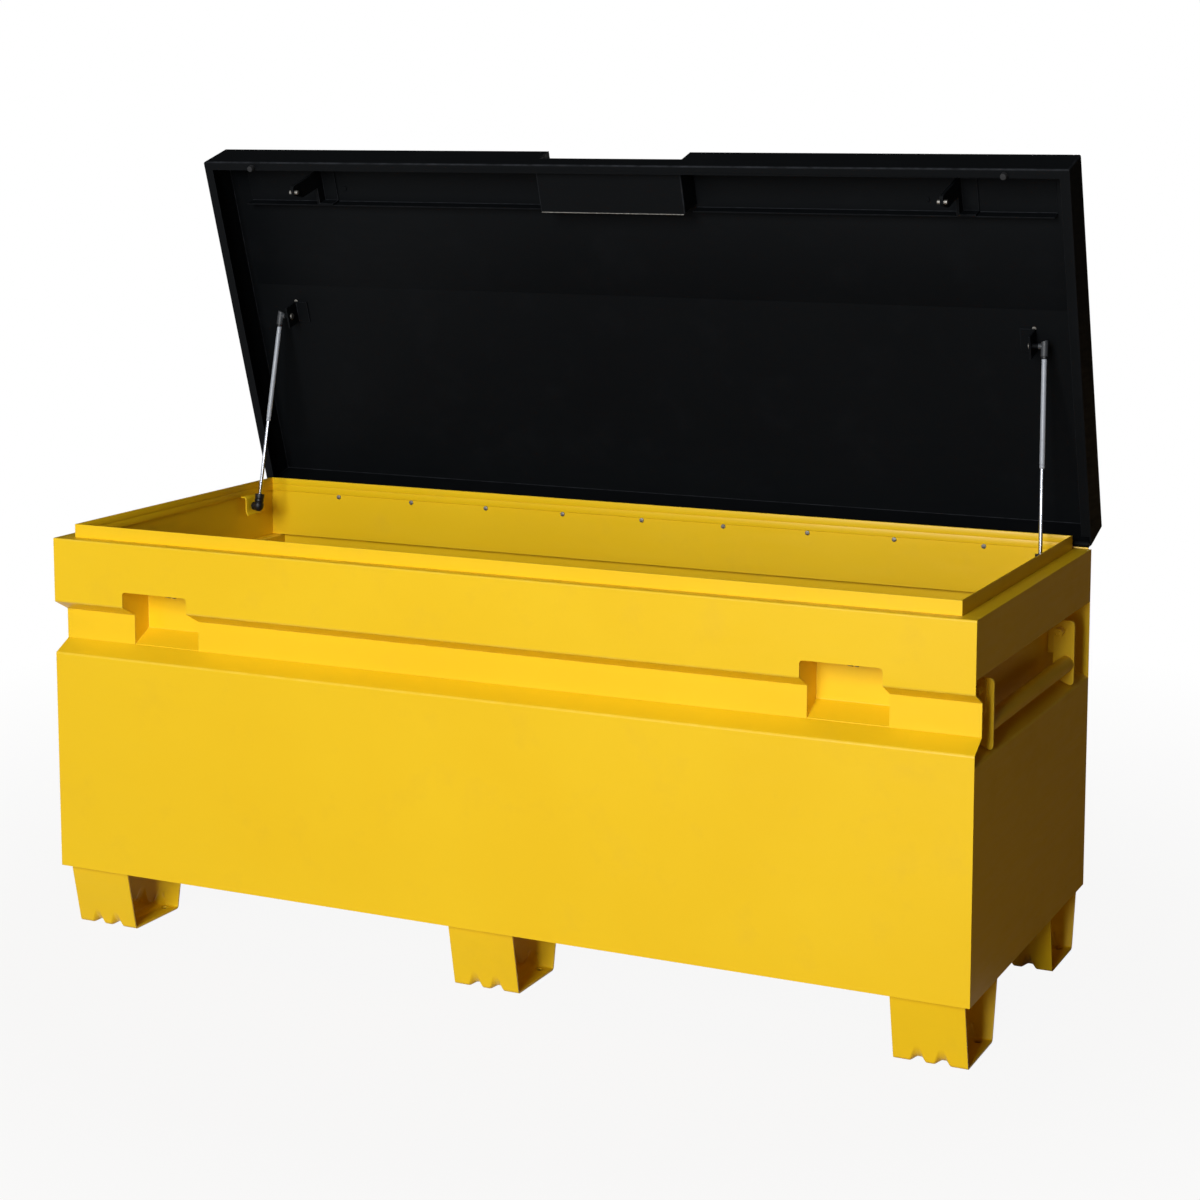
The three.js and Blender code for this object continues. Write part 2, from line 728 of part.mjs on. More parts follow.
// Lid pieces, in the lid's frame: hinge axis at the origin, front towards -Y
function lidShell() {
  const front = -lidReach;
  const back = lidBackOut;
  const outer = block(-lidHalf, lidHalf, front, back, skirtLift, lidHeight);
  const inHalf = lidHalf - lidSheet;
  const inside = block(
    -inHalf, inHalf, front + lidSheet, back - lidSheet, skirtLift + lidSheet, lidInside);
  const mouthHalf = lidHalf - lidFlange;
  const flangeTop = skirtLift + lidSheet;
  const mouth = block(
    -mouthHalf, mouthHalf, front + lidFlange, back - lidSheet, skirtLift - overrun, flangeTop + overrun);
  const backRelief = block(
    -inHalf, inHalf, back - lidFlange, back + overrun, skirtLift - overrun, backSkirtLift);
  const liftHalf = liftWidth / 2;
  const liftOpening = block(
    -liftHalf, liftHalf, front - overrun, front + liftBack, liftLip, lidHeight + overrun);
  const holes = sides.map(({ sign }) => rodZ(
    bumperStemRadius + seam, sign * (halfWidth - bumperFromEnd), front + bumperFromFront,
    skirtLift - overrun, skirtLift + lidSheet + overrun));
  return cut(outer, inside, mouth, backRelief, liftOpening, ...holes);
}

// Pan under the lift opening: fingers reach over the grip lip
function liftRecess() {
  const half = liftWidth / 2;
  const front = -lidReach + lidSheet + seam;
  const back = -lidReach + liftBack;
  const outer = block(-half - lidSheet, half + lidSheet, front, back + lidSheet, liftFloor, lidInside - seam);
  const inner = block(
    -half, half, front + lidSheet, back, liftFloor + lidSheet, lidHeight + overrun);
  const overLip = block(
    -half, half, front - overrun, front + lidSheet + overrun, liftLip, lidHeight + overrun);
  return cut(outer, inner, overLip);
}

function stiffener(sign) {
  const section = sheetSection([
    [-stiffenerBack, stiffenerLipEdge],
    [-stiffenerBack, lidInside - seam],
    [-stiffenerFront, lidInside - seam],
  ], lidSheet);
  const inner = liftWidth / 2 + lidSheet + seam;
  const outer = halfWidth - stiffenerEndMargin;
  return prismX(section, Math.min(sign * inner, sign * outer), Math.max(sign * inner, sign * outer));
}

// Lock hook: a web across the lid, and a foot on the stiffener with its end turned down at the lip
function lockHook(centre) {
  const seat = lidInside - lidSheet - 2 * seam;
  const footFront = -stiffenerBack - lidSheet - seam;
  const webCorners = [
    [-hookFront, seat],
    [-hookFront, hookTip, 2 * hookPinRadius],
    [-hookPinForward + hookPinRadius, hookTip, hookPinRadius],
    [-hookBack, hookPinUp / 2 + hookPinRadius * 3],
    [-hookBack, hookFootEdge],
    [footFront, hookFootEdge],
    [footFront, seat],
  ];
  const half = hookThickness / 2;
  const web = prismX(webCorners, centre - half, centre + half);
  const footEnd = centre + hookFootWidth;
  const foot = block(
    centre - half, footEnd, -hookFront + hookPinRadius, footFront, seat - hookFootSheet, seat);
  const toe = block(centre - half, footEnd, footFront - hookFootSheet, footFront, hookFootEdge, seat);
  const pinBore = rodX(
    hookPinRadius + seam, centre - hookThickness, centre + hookThickness, -hookPinForward, hookPinUp);
  return cut(join(web, foot, toe), pinBore);
}

function hookPin(centre) {
  const half = hookPinLength / 2;
  return rodX(hookPinRadius, centre - half, centre + half, -hookPinForward, hookPinUp);
}

function lidBumper(sign) {
  const x = sign * (halfWidth - bumperFromEnd);
  const y = -lidReach + bumperFromFront;
  const ledge = ledgeTop - hingeUp;
  const foot = rodZ(bumperRadius, x, y, ledge + seam, skirtLift - seam);
  const stem = rodZ(bumperStemRadius, x, y, skirtLift - 2 * seam, skirtLift + lidSheet + 2 * seam);
  const top = skirtLift + lidSheet + seam;
  const head = rodZ(bumperRadius, x, y, top, top + bumperHeadHeight);
  return join(foot, stem, head);
}

// Bracket on the lid: base under the top sheet, leg with a ball stud pointing outboard
function lidStrutBracket(sign) {
  const top = lidInside - seam;
  const legOuter = halfWidth - lidBracketInset;
  const legInner = legOuter - lidBracketSheet;
  const baseInner = legInner - lidBracketBase;
  const y0 = -ballForward - lidBracketHalfLength;
  const y1 = -ballForward + lidBracketHalfLength;
  const onSide = (a, b) => [Math.min(sign * a, sign * b), Math.max(sign * a, sign * b)];
  const base = block(...onSide(baseInner, legOuter), y0, y1, top - lidBracketSheet, top);
  const leg = block(...onSide(legInner, legOuter), y0, y1, lidBracketEdge, top);
  const studEnd = halfWidth - ballInsetTop - socketRadius - seam;
  const stud = rodX(studRadius, ...onSide(legInner, studEnd), -ballForward, ballUp);
  return join(base, leg, stud);
}

// Bracket inside the body: a leg turned down from the rim strip, with a ball stud pointing inboard
function bodyStrutBracket(sign) {
  const wall = rimInsetSide + rimSheet + seam;
  const legNear = bodyBracketLeg - bodyBracketSheet;
  const top = ledgeTop;
  const onSide = (a, b) => {
    const ends = [sign * (halfWidth - a), sign * (halfWidth - b)];
    return [Math.min(...ends), Math.max(...ends)];
  };
  const folded = (nearInset, drop) => block(
    ...onSide(nearInset, bodyBracketLeg), bodyBracketFront, bodyBracketBack, top - drop, top);
  const flange = folded(wall, bodyBracketSheet);
  const leg = folded(legNear, bodyBracketDrop);
  const studEnd = ballInsetFoot - socketRadius - seam;
  const stud = rodX(studRadius, ...onSide(legNear, studEnd), footBallBack, bodyBottom + footBallRise);
  return join(flange, leg, stud);
}

// Strut pieces, from the upper ball down along -Z
function turned(profile) {
  const points = profile.map(([radius, down]) => new THREE.Vector2(radius, -down)).reverse();
  return new THREE.LatheGeometry(points, roundSides).rotateX(Math.PI / 2);
}

function strutSocket(near, far) {
  const cap = near < far ? -1 : 1;
  const rim = socketRadius / 2;
  const ends = [
    [0, near + cap * socketCap],
    [rim, near + cap * socketCap],
    [socketRadius, near + cap * rim],
    [socketRadius, near - cap * rim * 2],
    [socketRadius - rim / 2, far],
    [0, far],
  ];
  return turned(near < far ? ends : ends.reverse());
}

function strutCylinder() {
  const top = socketReach + seam;
  const foot = top + cylinderLength;
  const bore = rodRadius + seam;
  const inner = cylinderRadius - cylinderWall;
  return turned([
    [0, top],
    [cylinderRadius, top],
    [cylinderRadius, foot - cylinderNose / 2],
    [cylinderRadius - cylinderWall / 2, foot],
    [bore, foot],
    [bore, foot - cylinderNose],
    [inner, foot - cylinderNose],
    [inner, top + cylinderNose],
    [0, top + cylinderNose],
  ]);
}

function strutRod(length) {
  const start = socketReach + seam + cylinderLength - rodInside;
  const end = length - socketReach - seam;
  return turned([[0, start], [rodRadius, start], [rodRadius, end], [0, end]]);
}

addPiece(model, 'front_band', frontBand(), yellowPowderCoat);
addPiece(model, 'front_panel', frontPanel(), yellowPowderCoat);
addPiece(model, 'back_panel', backPanel(), yellowPowderCoat);
addPiece(model, 'floor_panel', floorPanel(), yellowPowderCoat);
addPiece(model, 'rim_frame', rimFrame(), yellowPowderCoat);
for (const { name, sign } of sides) {
  addPiece(model, `side_panel_${name}`, sidePanel(sign), yellowPowderCoat);
}

const footGeometry = foot();
const footX = halfWidth - footEndMargin - footLength / 2;
const footRows = [
  { name: 'front', y: frontFootSetback + footTopWidth / 2 },
  { name: 'back', y: bodyDepth - footTopWidth / 2 },
];
const footColumns = [{ name: 'left', x: -footX }, { name: 'middle', x: 0 }, { name: 'right', x: footX }];
for (const row of footRows) {
  for (const column of footColumns) {
    const mesh = addPiece(model, `foot_${row.name}_${column.name}`, footGeometry, yellowPowderCoat);
    mesh.position.set(column.x, row.y, 0);
  }
}

const leverGeometry = latchLever();
sides.forEach(({ name }, index) => {
  const centre = pocketCentres[index];
  addPiece(model, `lock_pocket_${name}`, lockPocket(centre), yellowPowderCoat);
  addPiece(model, `padlock_staple_${name}`, padlockStaple(centre), zincPlate);
  const reach = leverForkGap / 2 + leverForkPlate + leverEarGap + leverEarThickness + seam;
  const pin = rodX(leverPinRadius, centre - reach, centre + reach, leverPivotBack, leverPivotUp);
  addPiece(model, `latch_pivot_${name}`, pin, zincPlate);
  const lever = addPiece(model, `latch_lever_${name}`, leverGeometry, zincPlate);
  lever.position.set(centre, leverPivotBack, leverPivotUp);
  lever.rotation.x = -leverRelease;
});

for (const { name, sign } of sides) {
  const handle = new THREE.Group();
  handle.position.set(sign * (halfWidth - pivotDepth), bodyDepth / 2, bodyBottom + pivotRise);
  model.add(handle);
  addPiece(handle, `handle_bar_${name}`, handleBar(sign), yellowPowderCoat);
  for (const [end, endSign] of [['front', -1], ['back', 1]]) {
    addPiece(handle, `handle_arm_${name}_${end}`, handleArm(sign, endSign * armCentre), yellowPowderCoat);
    addPiece(model, `handle_lug_${name}_${end}`, handleLug(sign, endSign), yellowPowderCoat);
    addPiece(model, `handle_bolt_${name}_${end}`, handleBolt(sign, endSign), yellowPowderCoat);
  }
}

const bodyLeaf = addPiece(model, 'hinge_body_leaf', hingeLeaf(false), yellowPowderCoat);
bodyLeaf.position.set(0, hingeBack, hingeUp);
addPiece(model, 'hinge_pin', hingePin(), zincPlate);

const lid = new THREE.Group();
lid.position.set(0, hingeBack, hingeUp);
lid.rotation.x = -openAngle;
model.add(lid);
addPiece(lid, 'lid_shell', lidShell(), blackPowderCoat);
addPiece(lid, 'hinge_lid_leaf', hingeLeaf(true), blackPowderCoat);
addPiece(lid, 'lift_recess', liftRecess(), blackPowderCoat);
sides.forEach(({ name, sign }, index) => {
  addPiece(lid, `lid_stiffener_${name}`, stiffener(sign), blackPowderCoat);
  addPiece(lid, `lock_hook_${name}`, lockHook(pocketCentres[index]), blackPowderCoat);
  addPiece(lid, `hook_pin_${name}`, hookPin(pocketCentres[index]), zincPlate);
  addPiece(lid, `lid_bumper_${name}`, lidBumper(sign), blackRubber);
  addPiece(lid, `strut_lid_bracket_${name}`, lidStrutBracket(sign), blackPowderCoat);
  addPiece(model, `strut_body_bracket_${name}`, bodyStrutBracket(sign), yellowPowderCoat);
});

for (const { name, sign } of sides) {
  const upper = new THREE.Vector3(sign * (halfWidth - ballInsetTop), -ballForward, ballUp);
  upper.applyAxisAngle(new THREE.Vector3(1, 0, 0), -openAngle).add(lid.position);
  const lowerX = sign * (halfWidth - ballInsetFoot);
  const lower = new THREE.Vector3(lowerX, footBallBack, bodyBottom + footBallRise);
  const along = upper.clone().sub(lower);
  const length = along.length();
  const strut = new THREE.Group();
  strut.position.copy(upper);
  strut.quaternion.setFromUnitVectors(new THREE.Vector3(0, 0, 1), along.normalize());
  model.add(strut);
  addPiece(strut, `strut_upper_socket_${name}`, strutSocket(0, socketReach), greyPaint);
  addPiece(strut, `strut_cylinder_${name}`, strutCylinder(), greyPaint);
  addPiece(strut, `strut_rod_${name}`, strutRod(length), chromedRod);
  addPiece(strut, `strut_lower_socket_${name}`, strutSocket(length, length - socketReach), blackNylon);
}

export default scene;
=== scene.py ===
"""The looks of a jobsite storage box: powder-coated sheet steel, zinc fasteners, gas struts."""

import json
import math

import bmesh
import bpy
from mathutils import Matrix, Vector


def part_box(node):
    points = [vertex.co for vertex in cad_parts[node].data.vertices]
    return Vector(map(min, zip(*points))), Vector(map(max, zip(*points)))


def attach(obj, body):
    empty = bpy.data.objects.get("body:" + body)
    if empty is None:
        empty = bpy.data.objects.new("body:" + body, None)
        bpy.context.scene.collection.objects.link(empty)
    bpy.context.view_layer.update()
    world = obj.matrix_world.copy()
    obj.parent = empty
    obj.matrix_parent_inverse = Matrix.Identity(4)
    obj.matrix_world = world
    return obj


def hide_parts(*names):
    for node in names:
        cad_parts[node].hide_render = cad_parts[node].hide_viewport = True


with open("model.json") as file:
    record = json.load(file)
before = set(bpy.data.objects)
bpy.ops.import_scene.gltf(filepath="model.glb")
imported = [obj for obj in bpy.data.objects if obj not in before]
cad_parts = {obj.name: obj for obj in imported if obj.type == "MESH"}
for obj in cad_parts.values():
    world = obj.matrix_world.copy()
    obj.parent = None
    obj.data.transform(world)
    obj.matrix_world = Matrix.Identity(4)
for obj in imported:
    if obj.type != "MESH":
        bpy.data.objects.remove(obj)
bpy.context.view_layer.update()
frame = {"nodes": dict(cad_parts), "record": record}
cad_nodes = frame["nodes"]
bodies = frame["record"]["behaviour"]["bodies"]
body_of = {node: body for body, members in bodies.items() for node in members}
slot_of = {row["node"]: row["material_slot"] for row in frame["record"]["subparts"]}
feet = [name for name in cad_nodes if name.startswith("foot_")]

# Lengths are in millimetres, in the row frame: x to the right, y to the back, z up
MM = 0.001
SIDES = {"left": -1, "right": 1}
HINGE_Y = 271.134
HINGE_Z = 645
LID_TURN = Matrix.Rotation(-math.radians(72.5), 4, "X")
OPEN_LID = Matrix.Translation((0, HINGE_Y, HINGE_Z)) @ LID_TURN
LID_UP = LID_TURN.to_3x3() @ Vector((0, 0, 1))


def on_lid(x, forward, up):
    """A place on the open lid, given as it is when the lid is shut: forward and up from the hinge."""
    return OPEN_LID @ Vector((x, -forward, up))


def extent(node):
    """A CAD node's low corner, middle and high corner."""
    low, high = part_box(node)
    return low / MM, (low + high) / 2 / MM, high / MM


# Materials


def linear(code):
    """An sRGB hex colour as the linear colour that sockets take."""
    parts = [int(code[i:i + 2], 16) / 255 for i in (1, 3, 5)]
    return tuple(p / 12.92 if p <= 0.04045 else ((p + 0.055) / 1.055) ** 2.4 for p in parts) + (1.0,)


def add(tree, kind, inputs, **settings):
    """A node with its settings, and its inputs as values or as another node's outputs."""
    node = tree.nodes.new(kind)
    for name, value in settings.items():
        setattr(node, name, value)
    for name, value in inputs.items():
        if isinstance(value, bpy.types.NodeSocket):
            tree.links.new(value, node.inputs[name])
        else:
            node.inputs[name].default_value = value
    return node


def blank_material(name):
    """A material without a surface, its tree and the place on the piece."""
    material = bpy.data.materials.new(name)
    material.use_nodes = True
    tree = material.node_tree
    tree.nodes.clear()
    place = add(tree, "ShaderNodeTexCoord", {}).outputs["Object"]
    return material, tree, place


def noise(tree, place, size, detail, roughness=0.5):
    """Noise whose lumps are about this many millimetres across."""
    return add(tree, "ShaderNodeTexNoise", {
        "Vector": place, "Scale": 1 / (size * MM), "Detail": detail, "Roughness": roughness}).outputs["Fac"]


def ramp(tree, value, low, high, start=0.0, end=1.0):
    """A value's range from low to high as a range from start to end."""
    return add(tree, "ShaderNodeMapRange", {
        "Value": value, "From Min": low, "From Max": high, "To Min": start, "To Max": end}).outputs[0]


def maths(tree, operation, *values):
    """One operation on values or sockets."""
    return add(tree, "ShaderNodeMath", dict(enumerate(values)), operation=operation).outputs[0]


def along(tree, vector, way):
    """How far a vector goes this way."""
    return add(tree, "ShaderNodeVectorMath", {0: vector, 1: way}, operation="DOT_PRODUCT").outputs["Value"]


def blend(tree, share, first, second):
    """The first colour with this share of the second."""
    return add(tree, "ShaderNodeMix", {0: share, 6: first, 7: second}, data_type="RGBA").outputs[2]


def relief(tree, height, strength, depth, under=None):
    """A bump of this depth in millimetres, on top of the one under it."""
    inputs = {"Strength": strength, "Distance": depth * MM, "Height": height}
    if under is not None:
        inputs["Normal"] = under
    return add(tree, "ShaderNodeBump", inputs).outputs[0]


def surface(tree, looks):
    """Gives a material its surface, a Principled shader with these inputs."""
    shader = add(tree, "ShaderNodeBsdfPrincipled", looks)
    add(tree, "ShaderNodeOutputMaterial", {"Surface": shader.outputs[0]})


def powder_coat(name, colour, deep, thin_film_and_highlight, dust, roughness, specular):
    """Baked polyester powder: a thick, slightly lumpy film, paler over folds and cut edges, partly for a
    thinner film there and mostly as a painted highlight.
    """
    material, tree, place = blank_material(name)
    film = noise(tree, place, 260, 3.0)
    peel = noise(tree, place, 3.2, 2.0)
    soil = noise(tree, place, 90, 8.0, 0.65)
    chips = noise(tree, place, 14, 5.0)
    stretched = add(tree, "ShaderNodeMapping", {
        "Vector": place, "Rotation": (0, 0.5, 0.2), "Scale": (0.12, 0.12, 1.0)}).outputs[0]
    wipes = noise(tree, stretched, 9, 4.0)
    fold = add(tree, "ShaderNodeAttribute", {}, attribute_name="fold").outputs["Fac"]

    # Paler in patches along folds and cut edges: partly thin, worn film, mostly a painted highlight on the
    # rounded edges
    fold_wear_and_highlight = maths(tree, "MULTIPLY", fold, ramp(tree, chips, 0.35, 0.7, 0.2, 0.75))
    soiled = ramp(tree, soil, 0.55, 0.8, 0.0, 0.22)
    tone = blend(tree, ramp(tree, film, 0.35, 0.65, 0.0, 0.5), linear(colour), linear(deep))
    tone = blend(tree, fold_wear_and_highlight, tone, linear(thin_film_and_highlight))
    tone = blend(tree, soiled, tone, linear(dust))
    wiped = ramp(tree, wipes, 0.3, 0.75, roughness - 0.03, roughness + 0.07)
    surface(tree, {
        "Base Color": tone, "Roughness": maths(tree, "MULTIPLY_ADD", soiled, 0.4, wiped),
        "IOR": 1.5, "Specular IOR Level": specular,
        "Normal": relief(tree, peel, 0.5, 0.05, under=relief(tree, film, 0.5, 0.9))})
    return material


def worked_metal(name, colour, dark, roughness, stain, brush):
    """Bare or plated steel: small patches of tone, fine marks along the piece, dull spots."""
    material, tree, place = blank_material(name)
    patches = noise(tree, place, stain, 6.0)
    squashed = add(tree, "ShaderNodeMapping", {"Vector": place, "Scale": (1.0, 1.0, brush)}).outputs[0]
    marks = noise(tree, squashed, 0.8, 3.0)
    surface(tree, {
        "Base Color": blend(tree, ramp(tree, patches, 0.4, 0.75), linear(colour), linear(dark)),
        "Metallic": 1.0, "Roughness": ramp(tree, patches, 0.3, 0.8, roughness, roughness + 0.18),
        "Normal": relief(tree, marks, 0.3, 0.02)})
    return material


def moulded(name, colour, scuffed, roughness, grain, depth, specular):
    """Moulded plastic, rubber or lacquer: an even colour, scuffs, a fine skin texture."""
    material, tree, place = blank_material(name)
    scuffs = noise(tree, place, 7, 7.0)
    skin = noise(tree, place, grain, 3.0)
    surface(tree, {
        "Base Color": blend(tree, ramp(tree, scuffs, 0.52, 0.78, 0.0, 0.6), linear(colour), linear(scuffed)),
        "Roughness": ramp(tree, scuffs, 0.3, 0.8, roughness, roughness + 0.15),
        "IOR": 1.5, "Specular IOR Level": specular, "Normal": relief(tree, skin, 0.4, depth)})
    return material


# Each finish: how it is made, and its looks
FINISHES = {
    # Gloss polyester powder on sheet steel: even golden yellow, paler on folds, partly where the film is
    # stretched thin and partly as a painted highlight
    "yellow_powder_coat": (powder_coat, {
        "colour": "#F2C91B", "deep": "#EEC215", "thin_film_and_highlight": "#F8D548", "dust": "#D8AE30",
        "roughness": 0.36, "specular": 0.3}),
    # Satin black powder: near black with a faint blue, with a painted grey highlight line along the edges
    "black_powder_coat": (powder_coat, {
        "colour": "#0D0F11", "deep": "#0A0C0E", "thin_film_and_highlight": "#33363B", "dust": "#1A1C1F",
        "roughness": 0.55, "specular": 0.04}),
    # Zinc electroplate: grey with small cloudy patches
    "zinc_plate": (worked_metal, {
        "colour": "#8A8883", "dark": "#6A6762", "roughness": 0.46, "stain": 6, "brush": 1.0}),
    # Hard chrome on a ground rod: mirror bright with very fine marks round it
    "chromed_rod": (worked_metal, {
        "colour": "#A6AAB2", "dark": "#8F939B", "roughness": 0.18, "stain": 30, "brush": 6.0}),
    # Silver-grey stoving lacquer on the strut's tube: satin
    "strut_paint": (moulded, {
        "colour": "#9CA3AD", "scuffed": "#838A94", "roughness": 0.3, "grain": 0.7, "depth": 0.02,
        "specular": 0.6}),
    # Glass-filled nylon of the struts' upper fittings: the black nylon in a lit copy, its slate grey a
    # painted light
    "black_nylon_lit_copy": (moulded, {
        "colour": "#373A3E", "scuffed": "#505458", "roughness": 0.4, "grain": 0.8, "depth": 0.04,
        "specular": 0.35}),
    # Injection-moulded nylon: black with a soft sheen and pale scuffs
    "black_nylon": (moulded, {
        "colour": "#121315", "scuffed": "#2C2E32", "roughness": 0.34, "grain": 0.8, "depth": 0.04,
        "specular": 0.3}),
    # Moulded rubber: matt charcoal
    "black_rubber": (moulded, {
        "colour": "#1D1E20", "scuffed": "#3B3C3E", "roughness": 0.62, "grain": 1.2, "depth": 0.08,
        "specular": 0.3}),
}
MATERIALS = {name: make(name, **looks) for name, (make, looks) in FINISHES.items()}


# Making pieces

CRISP = 38  # degrees over which an edge is shaded sharp, where no other angle is given
NEAR_ZERO = 1e-6


def linked(name, data):
    """A new object in the scene."""
    thing = bpy.data.objects.new(name, data)
    bpy.context.scene.collection.objects.link(thing)
    return thing


def settle(name, mesh, body, slot, finish=None):
    """A finished mesh as a piece on its body, in its slot's finish or in the one that is named."""
    mesh.name = name
    mesh.materials.clear()
    mesh.materials.append(MATERIALS[finish or slot])
    piece = linked(name, mesh)
    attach(piece, body)
    return piece


def stand_in(node, name, mesh, finish=None):
    """A piece in a CAD node's place, on its body and in its slot."""
    piece = settle(name, mesh, body_of[node], slot_of[node], finish)
    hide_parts(node)


def made_mesh(build):
    """A bmesh as a mesh."""
    mesh = bpy.data.meshes.new("made")
    build.to_mesh(mesh)
    build.free()
    return mesh


def shaded(mesh, sharp):
    """The mesh in smooth shading that stays crisp at edges over this many degrees."""
    mesh.shade_smooth()
    mesh.set_sharp_from_angle(angle=math.radians(sharp))
    return mesh


def solid_mesh(build, sharp=CRISP):
    """A closed bmesh as a shaded mesh with its faces outwards."""
    bmesh.ops.recalc_face_normals(build, faces=build.faces)
    return shaded(made_mesh(build), sharp)


def with_modifiers(mesh, *steps):
    """The mesh after these modifiers, each a kind and its settings."""
    holder = linked("holder", mesh)
    for kind, settings in steps:
        modifier = holder.modifiers.new(kind.lower(), kind)
        for name, value in settings.items():
            setattr(modifier, name, value)
    bpy.context.view_layer.update()
    shown = holder.evaluated_get(bpy.context.evaluated_depsgraph_get())
    result = bpy.data.meshes.new_from_object(shown)
    bpy.data.objects.remove(holder)
    return result


def eased_edges(size, angle, **more):
    """A bevel step for edges over this angle in degrees."""
    return ("BEVEL", {"width": size * MM, "segments": 2, "limit_method": "ANGLE",
                      "angle_limit": math.radians(angle), **more})


def joined_mesh(meshes):
    """Several meshes as one."""
    build = bmesh.new()
    for mesh in meshes:
        build.from_mesh(mesh)
    return made_mesh(build)


def eased(points, size, steps=4):
    """An open line of 2-D points with its inside corners rounded."""
    line = [Vector(points[0])]
    for before, corner, after in zip(points, points[1:], points[2:]):
        before, corner, after = Vector(before), Vector(corner), Vector(after)
        reach = min(size, (corner - before).length / 2.1, (after - corner).length / 2.1)
        near = corner + (before - corner).normalized() * reach
        far = corner + (after - corner).normalized() * reach
        for step in range(steps + 1):
            t = step / steps
            line.append(near.lerp(corner, t).lerp(corner.lerp(far, t), t))
    line.append(Vector(points[-1]))
    return line


def round_line(radius, start, end, ease=None):
    """Half the outline of a round bar, as (radius, distance), with eased or with plain ends."""
    line = [(0, start), (radius, start), (radius, end), (0, end)]
    return eased(line, ease) if ease else line


def turned_mesh(start, way, profile, sides, sharp=CRISP):
    """A round piece on an axis: profile lists (radius, distance), from one end to the other."""
    axis = Vector(way).normalized()
    across = axis.orthogonal().normalized()
    third = axis.cross(across)
    turns = [2 * math.pi * step / sides for step in range(sides)]
    build = bmesh.new()
    rings = []
    for radius, distance in profile:
        centre = Vector(start) + axis * distance
        if radius < NEAR_ZERO:
            rings.append([build.verts.new(centre * MM)])
            continue
        rings.append([build.verts.new(
            (centre + (across * math.cos(turn) + third * math.sin(turn)) * radius) * MM) for turn in turns])
    for near, far in zip(rings, rings[1:]):
        for step in range(sides):
            after = (step + 1) % sides
            corners = [near[step % len(near)], near[after % len(near)],
                       far[after % len(far)], far[step % len(far)]]
            build.faces.new(list(dict.fromkeys(corners)))
    return solid_mesh(build, sharp)


def hex_mesh(start, way, flat, height, ease):
    """A hexagonal head or nut, this wide across its flats, with its corners chamfered."""
    mesh = turned_mesh(start, way, round_line(flat / math.sqrt(3), 0, height), 6, sharp=30)
    return with_modifiers(mesh, eased_edges(ease, 40))


def slab_mesh(low, high, ease):
    """A block with eased edges."""
    build = bmesh.new()
    bmesh.ops.create_cube(build, size=1.0)
    for point in build.verts:
        share = point.co + Vector((0.5, 0.5, 0.5))
        point.co = Vector([a + (b - a) * t for a, b, t in zip(low, high, share)]) * MM
    bmesh.ops.bevel(build, geom=build.edges[:], offset=ease * MM, segments=2, profile=0.5, affect="EDGES")
    return solid_mesh(build)


def extruded_mesh(outline, length, ease):
    """An outline of (y, z) points drawn out from x = 0 to x = length, with eased ends."""
    build = bmesh.new()
    face = build.faces.new([build.verts.new(Vector((0, y, z)) * MM) for y, z in outline])
    drawn = bmesh.ops.extrude_face_region(build, geom=[face])["geom"]
    moved = [part for part in drawn if isinstance(part, bmesh.types.BMVert)]
    bmesh.ops.translate(build, verts=moved, vec=Vector((length, 0, 0)) * MM)
    ends = [edge for edge in build.edges if abs(edge.verts[0].co.x - edge.verts[1].co.x) < NEAR_ZERO]
    bmesh.ops.bevel(build, geom=ends, offset=ease * MM, segments=2, profile=0.5, affect="EDGES")
    return solid_mesh(build)


def opened(mesh):
    """A mesh made on the shut lid, with the hinge at the origin, brought to the open lid."""
    mesh.transform(Matrix.Scale(MM, 4) @ OPEN_LID @ Matrix.Scale(1 / MM, 4))
    return mesh


# Sheet parts: copies of the CAD nodes with their folds rounded and their cut edges eased
SAME_POINT = 0.01
FLAT_ANGLE = math.radians(0.4)
FOLD_ANGLE = math.radians(30)
CUT_WIDTH = 1.15  # a face narrower than this many sheet thicknesses is a cut edge


def mark_folds(mesh):
    """Face material 1 marks rounded edges: the inside points of those strips get fold = 1."""
    plain = set()
    for face in mesh.polygons:
        if face.material_index == 0:
            plain.update(face.vertices)
        face.material_index = 0
    share = mesh.attributes.new("fold", "FLOAT", "POINT")
    for point in mesh.vertices:
        share.data[point.index].value = 0.0 if point.index in plain else 1.0


def softened_mesh(source, sheet, fold, inner, rim):
    """A sheet's mesh with these radii: outside of a fold, inside of a fold, rim of the sheet."""
    build = bmesh.new()
    build.from_mesh(source)
    bmesh.ops.remove_doubles(build, verts=build.verts, dist=SAME_POINT * MM)
    bmesh.ops.dissolve_limit(
        build, angle_limit=FLAT_ANGLE, verts=build.verts, edges=build.edges, delimit=set())
    bmesh.ops.connect_verts_concave(build, faces=[face for face in build.faces if len(face.verts) > 4])
    cut = {face for face in build.faces
           if face.calc_area() < CUT_WIDTH * sheet * MM * face.calc_perimeter() / 2}
    weight = build.edges.layers.float.new("bevel_weight_edge")
    for edge in build.edges:
        if len(edge.link_faces) != 2 or edge.calc_face_angle(0) < FOLD_ANGLE:
            continue
        if cut.intersection(edge.link_faces):
            size = rim
        elif edge.is_convex:
            size = fold
        else:
            size = inner
        edge[weight] = size / fold
    mesh = made_mesh(build)
    mesh.shade_smooth()
    mesh.materials.append(None)
    mesh.materials.append(None)
    mesh = with_modifiers(
        mesh,
        ("BEVEL", {"limit_method": "WEIGHT", "width": fold * MM, "segments": 3,
                   "use_clamp_overlap": False, "material": 1}),
        ("WEIGHTED_NORMAL", {"mode": "FACE_AREA", "weight": 100, "keep_sharp": False}))
    mark_folds(mesh)
    return mesh


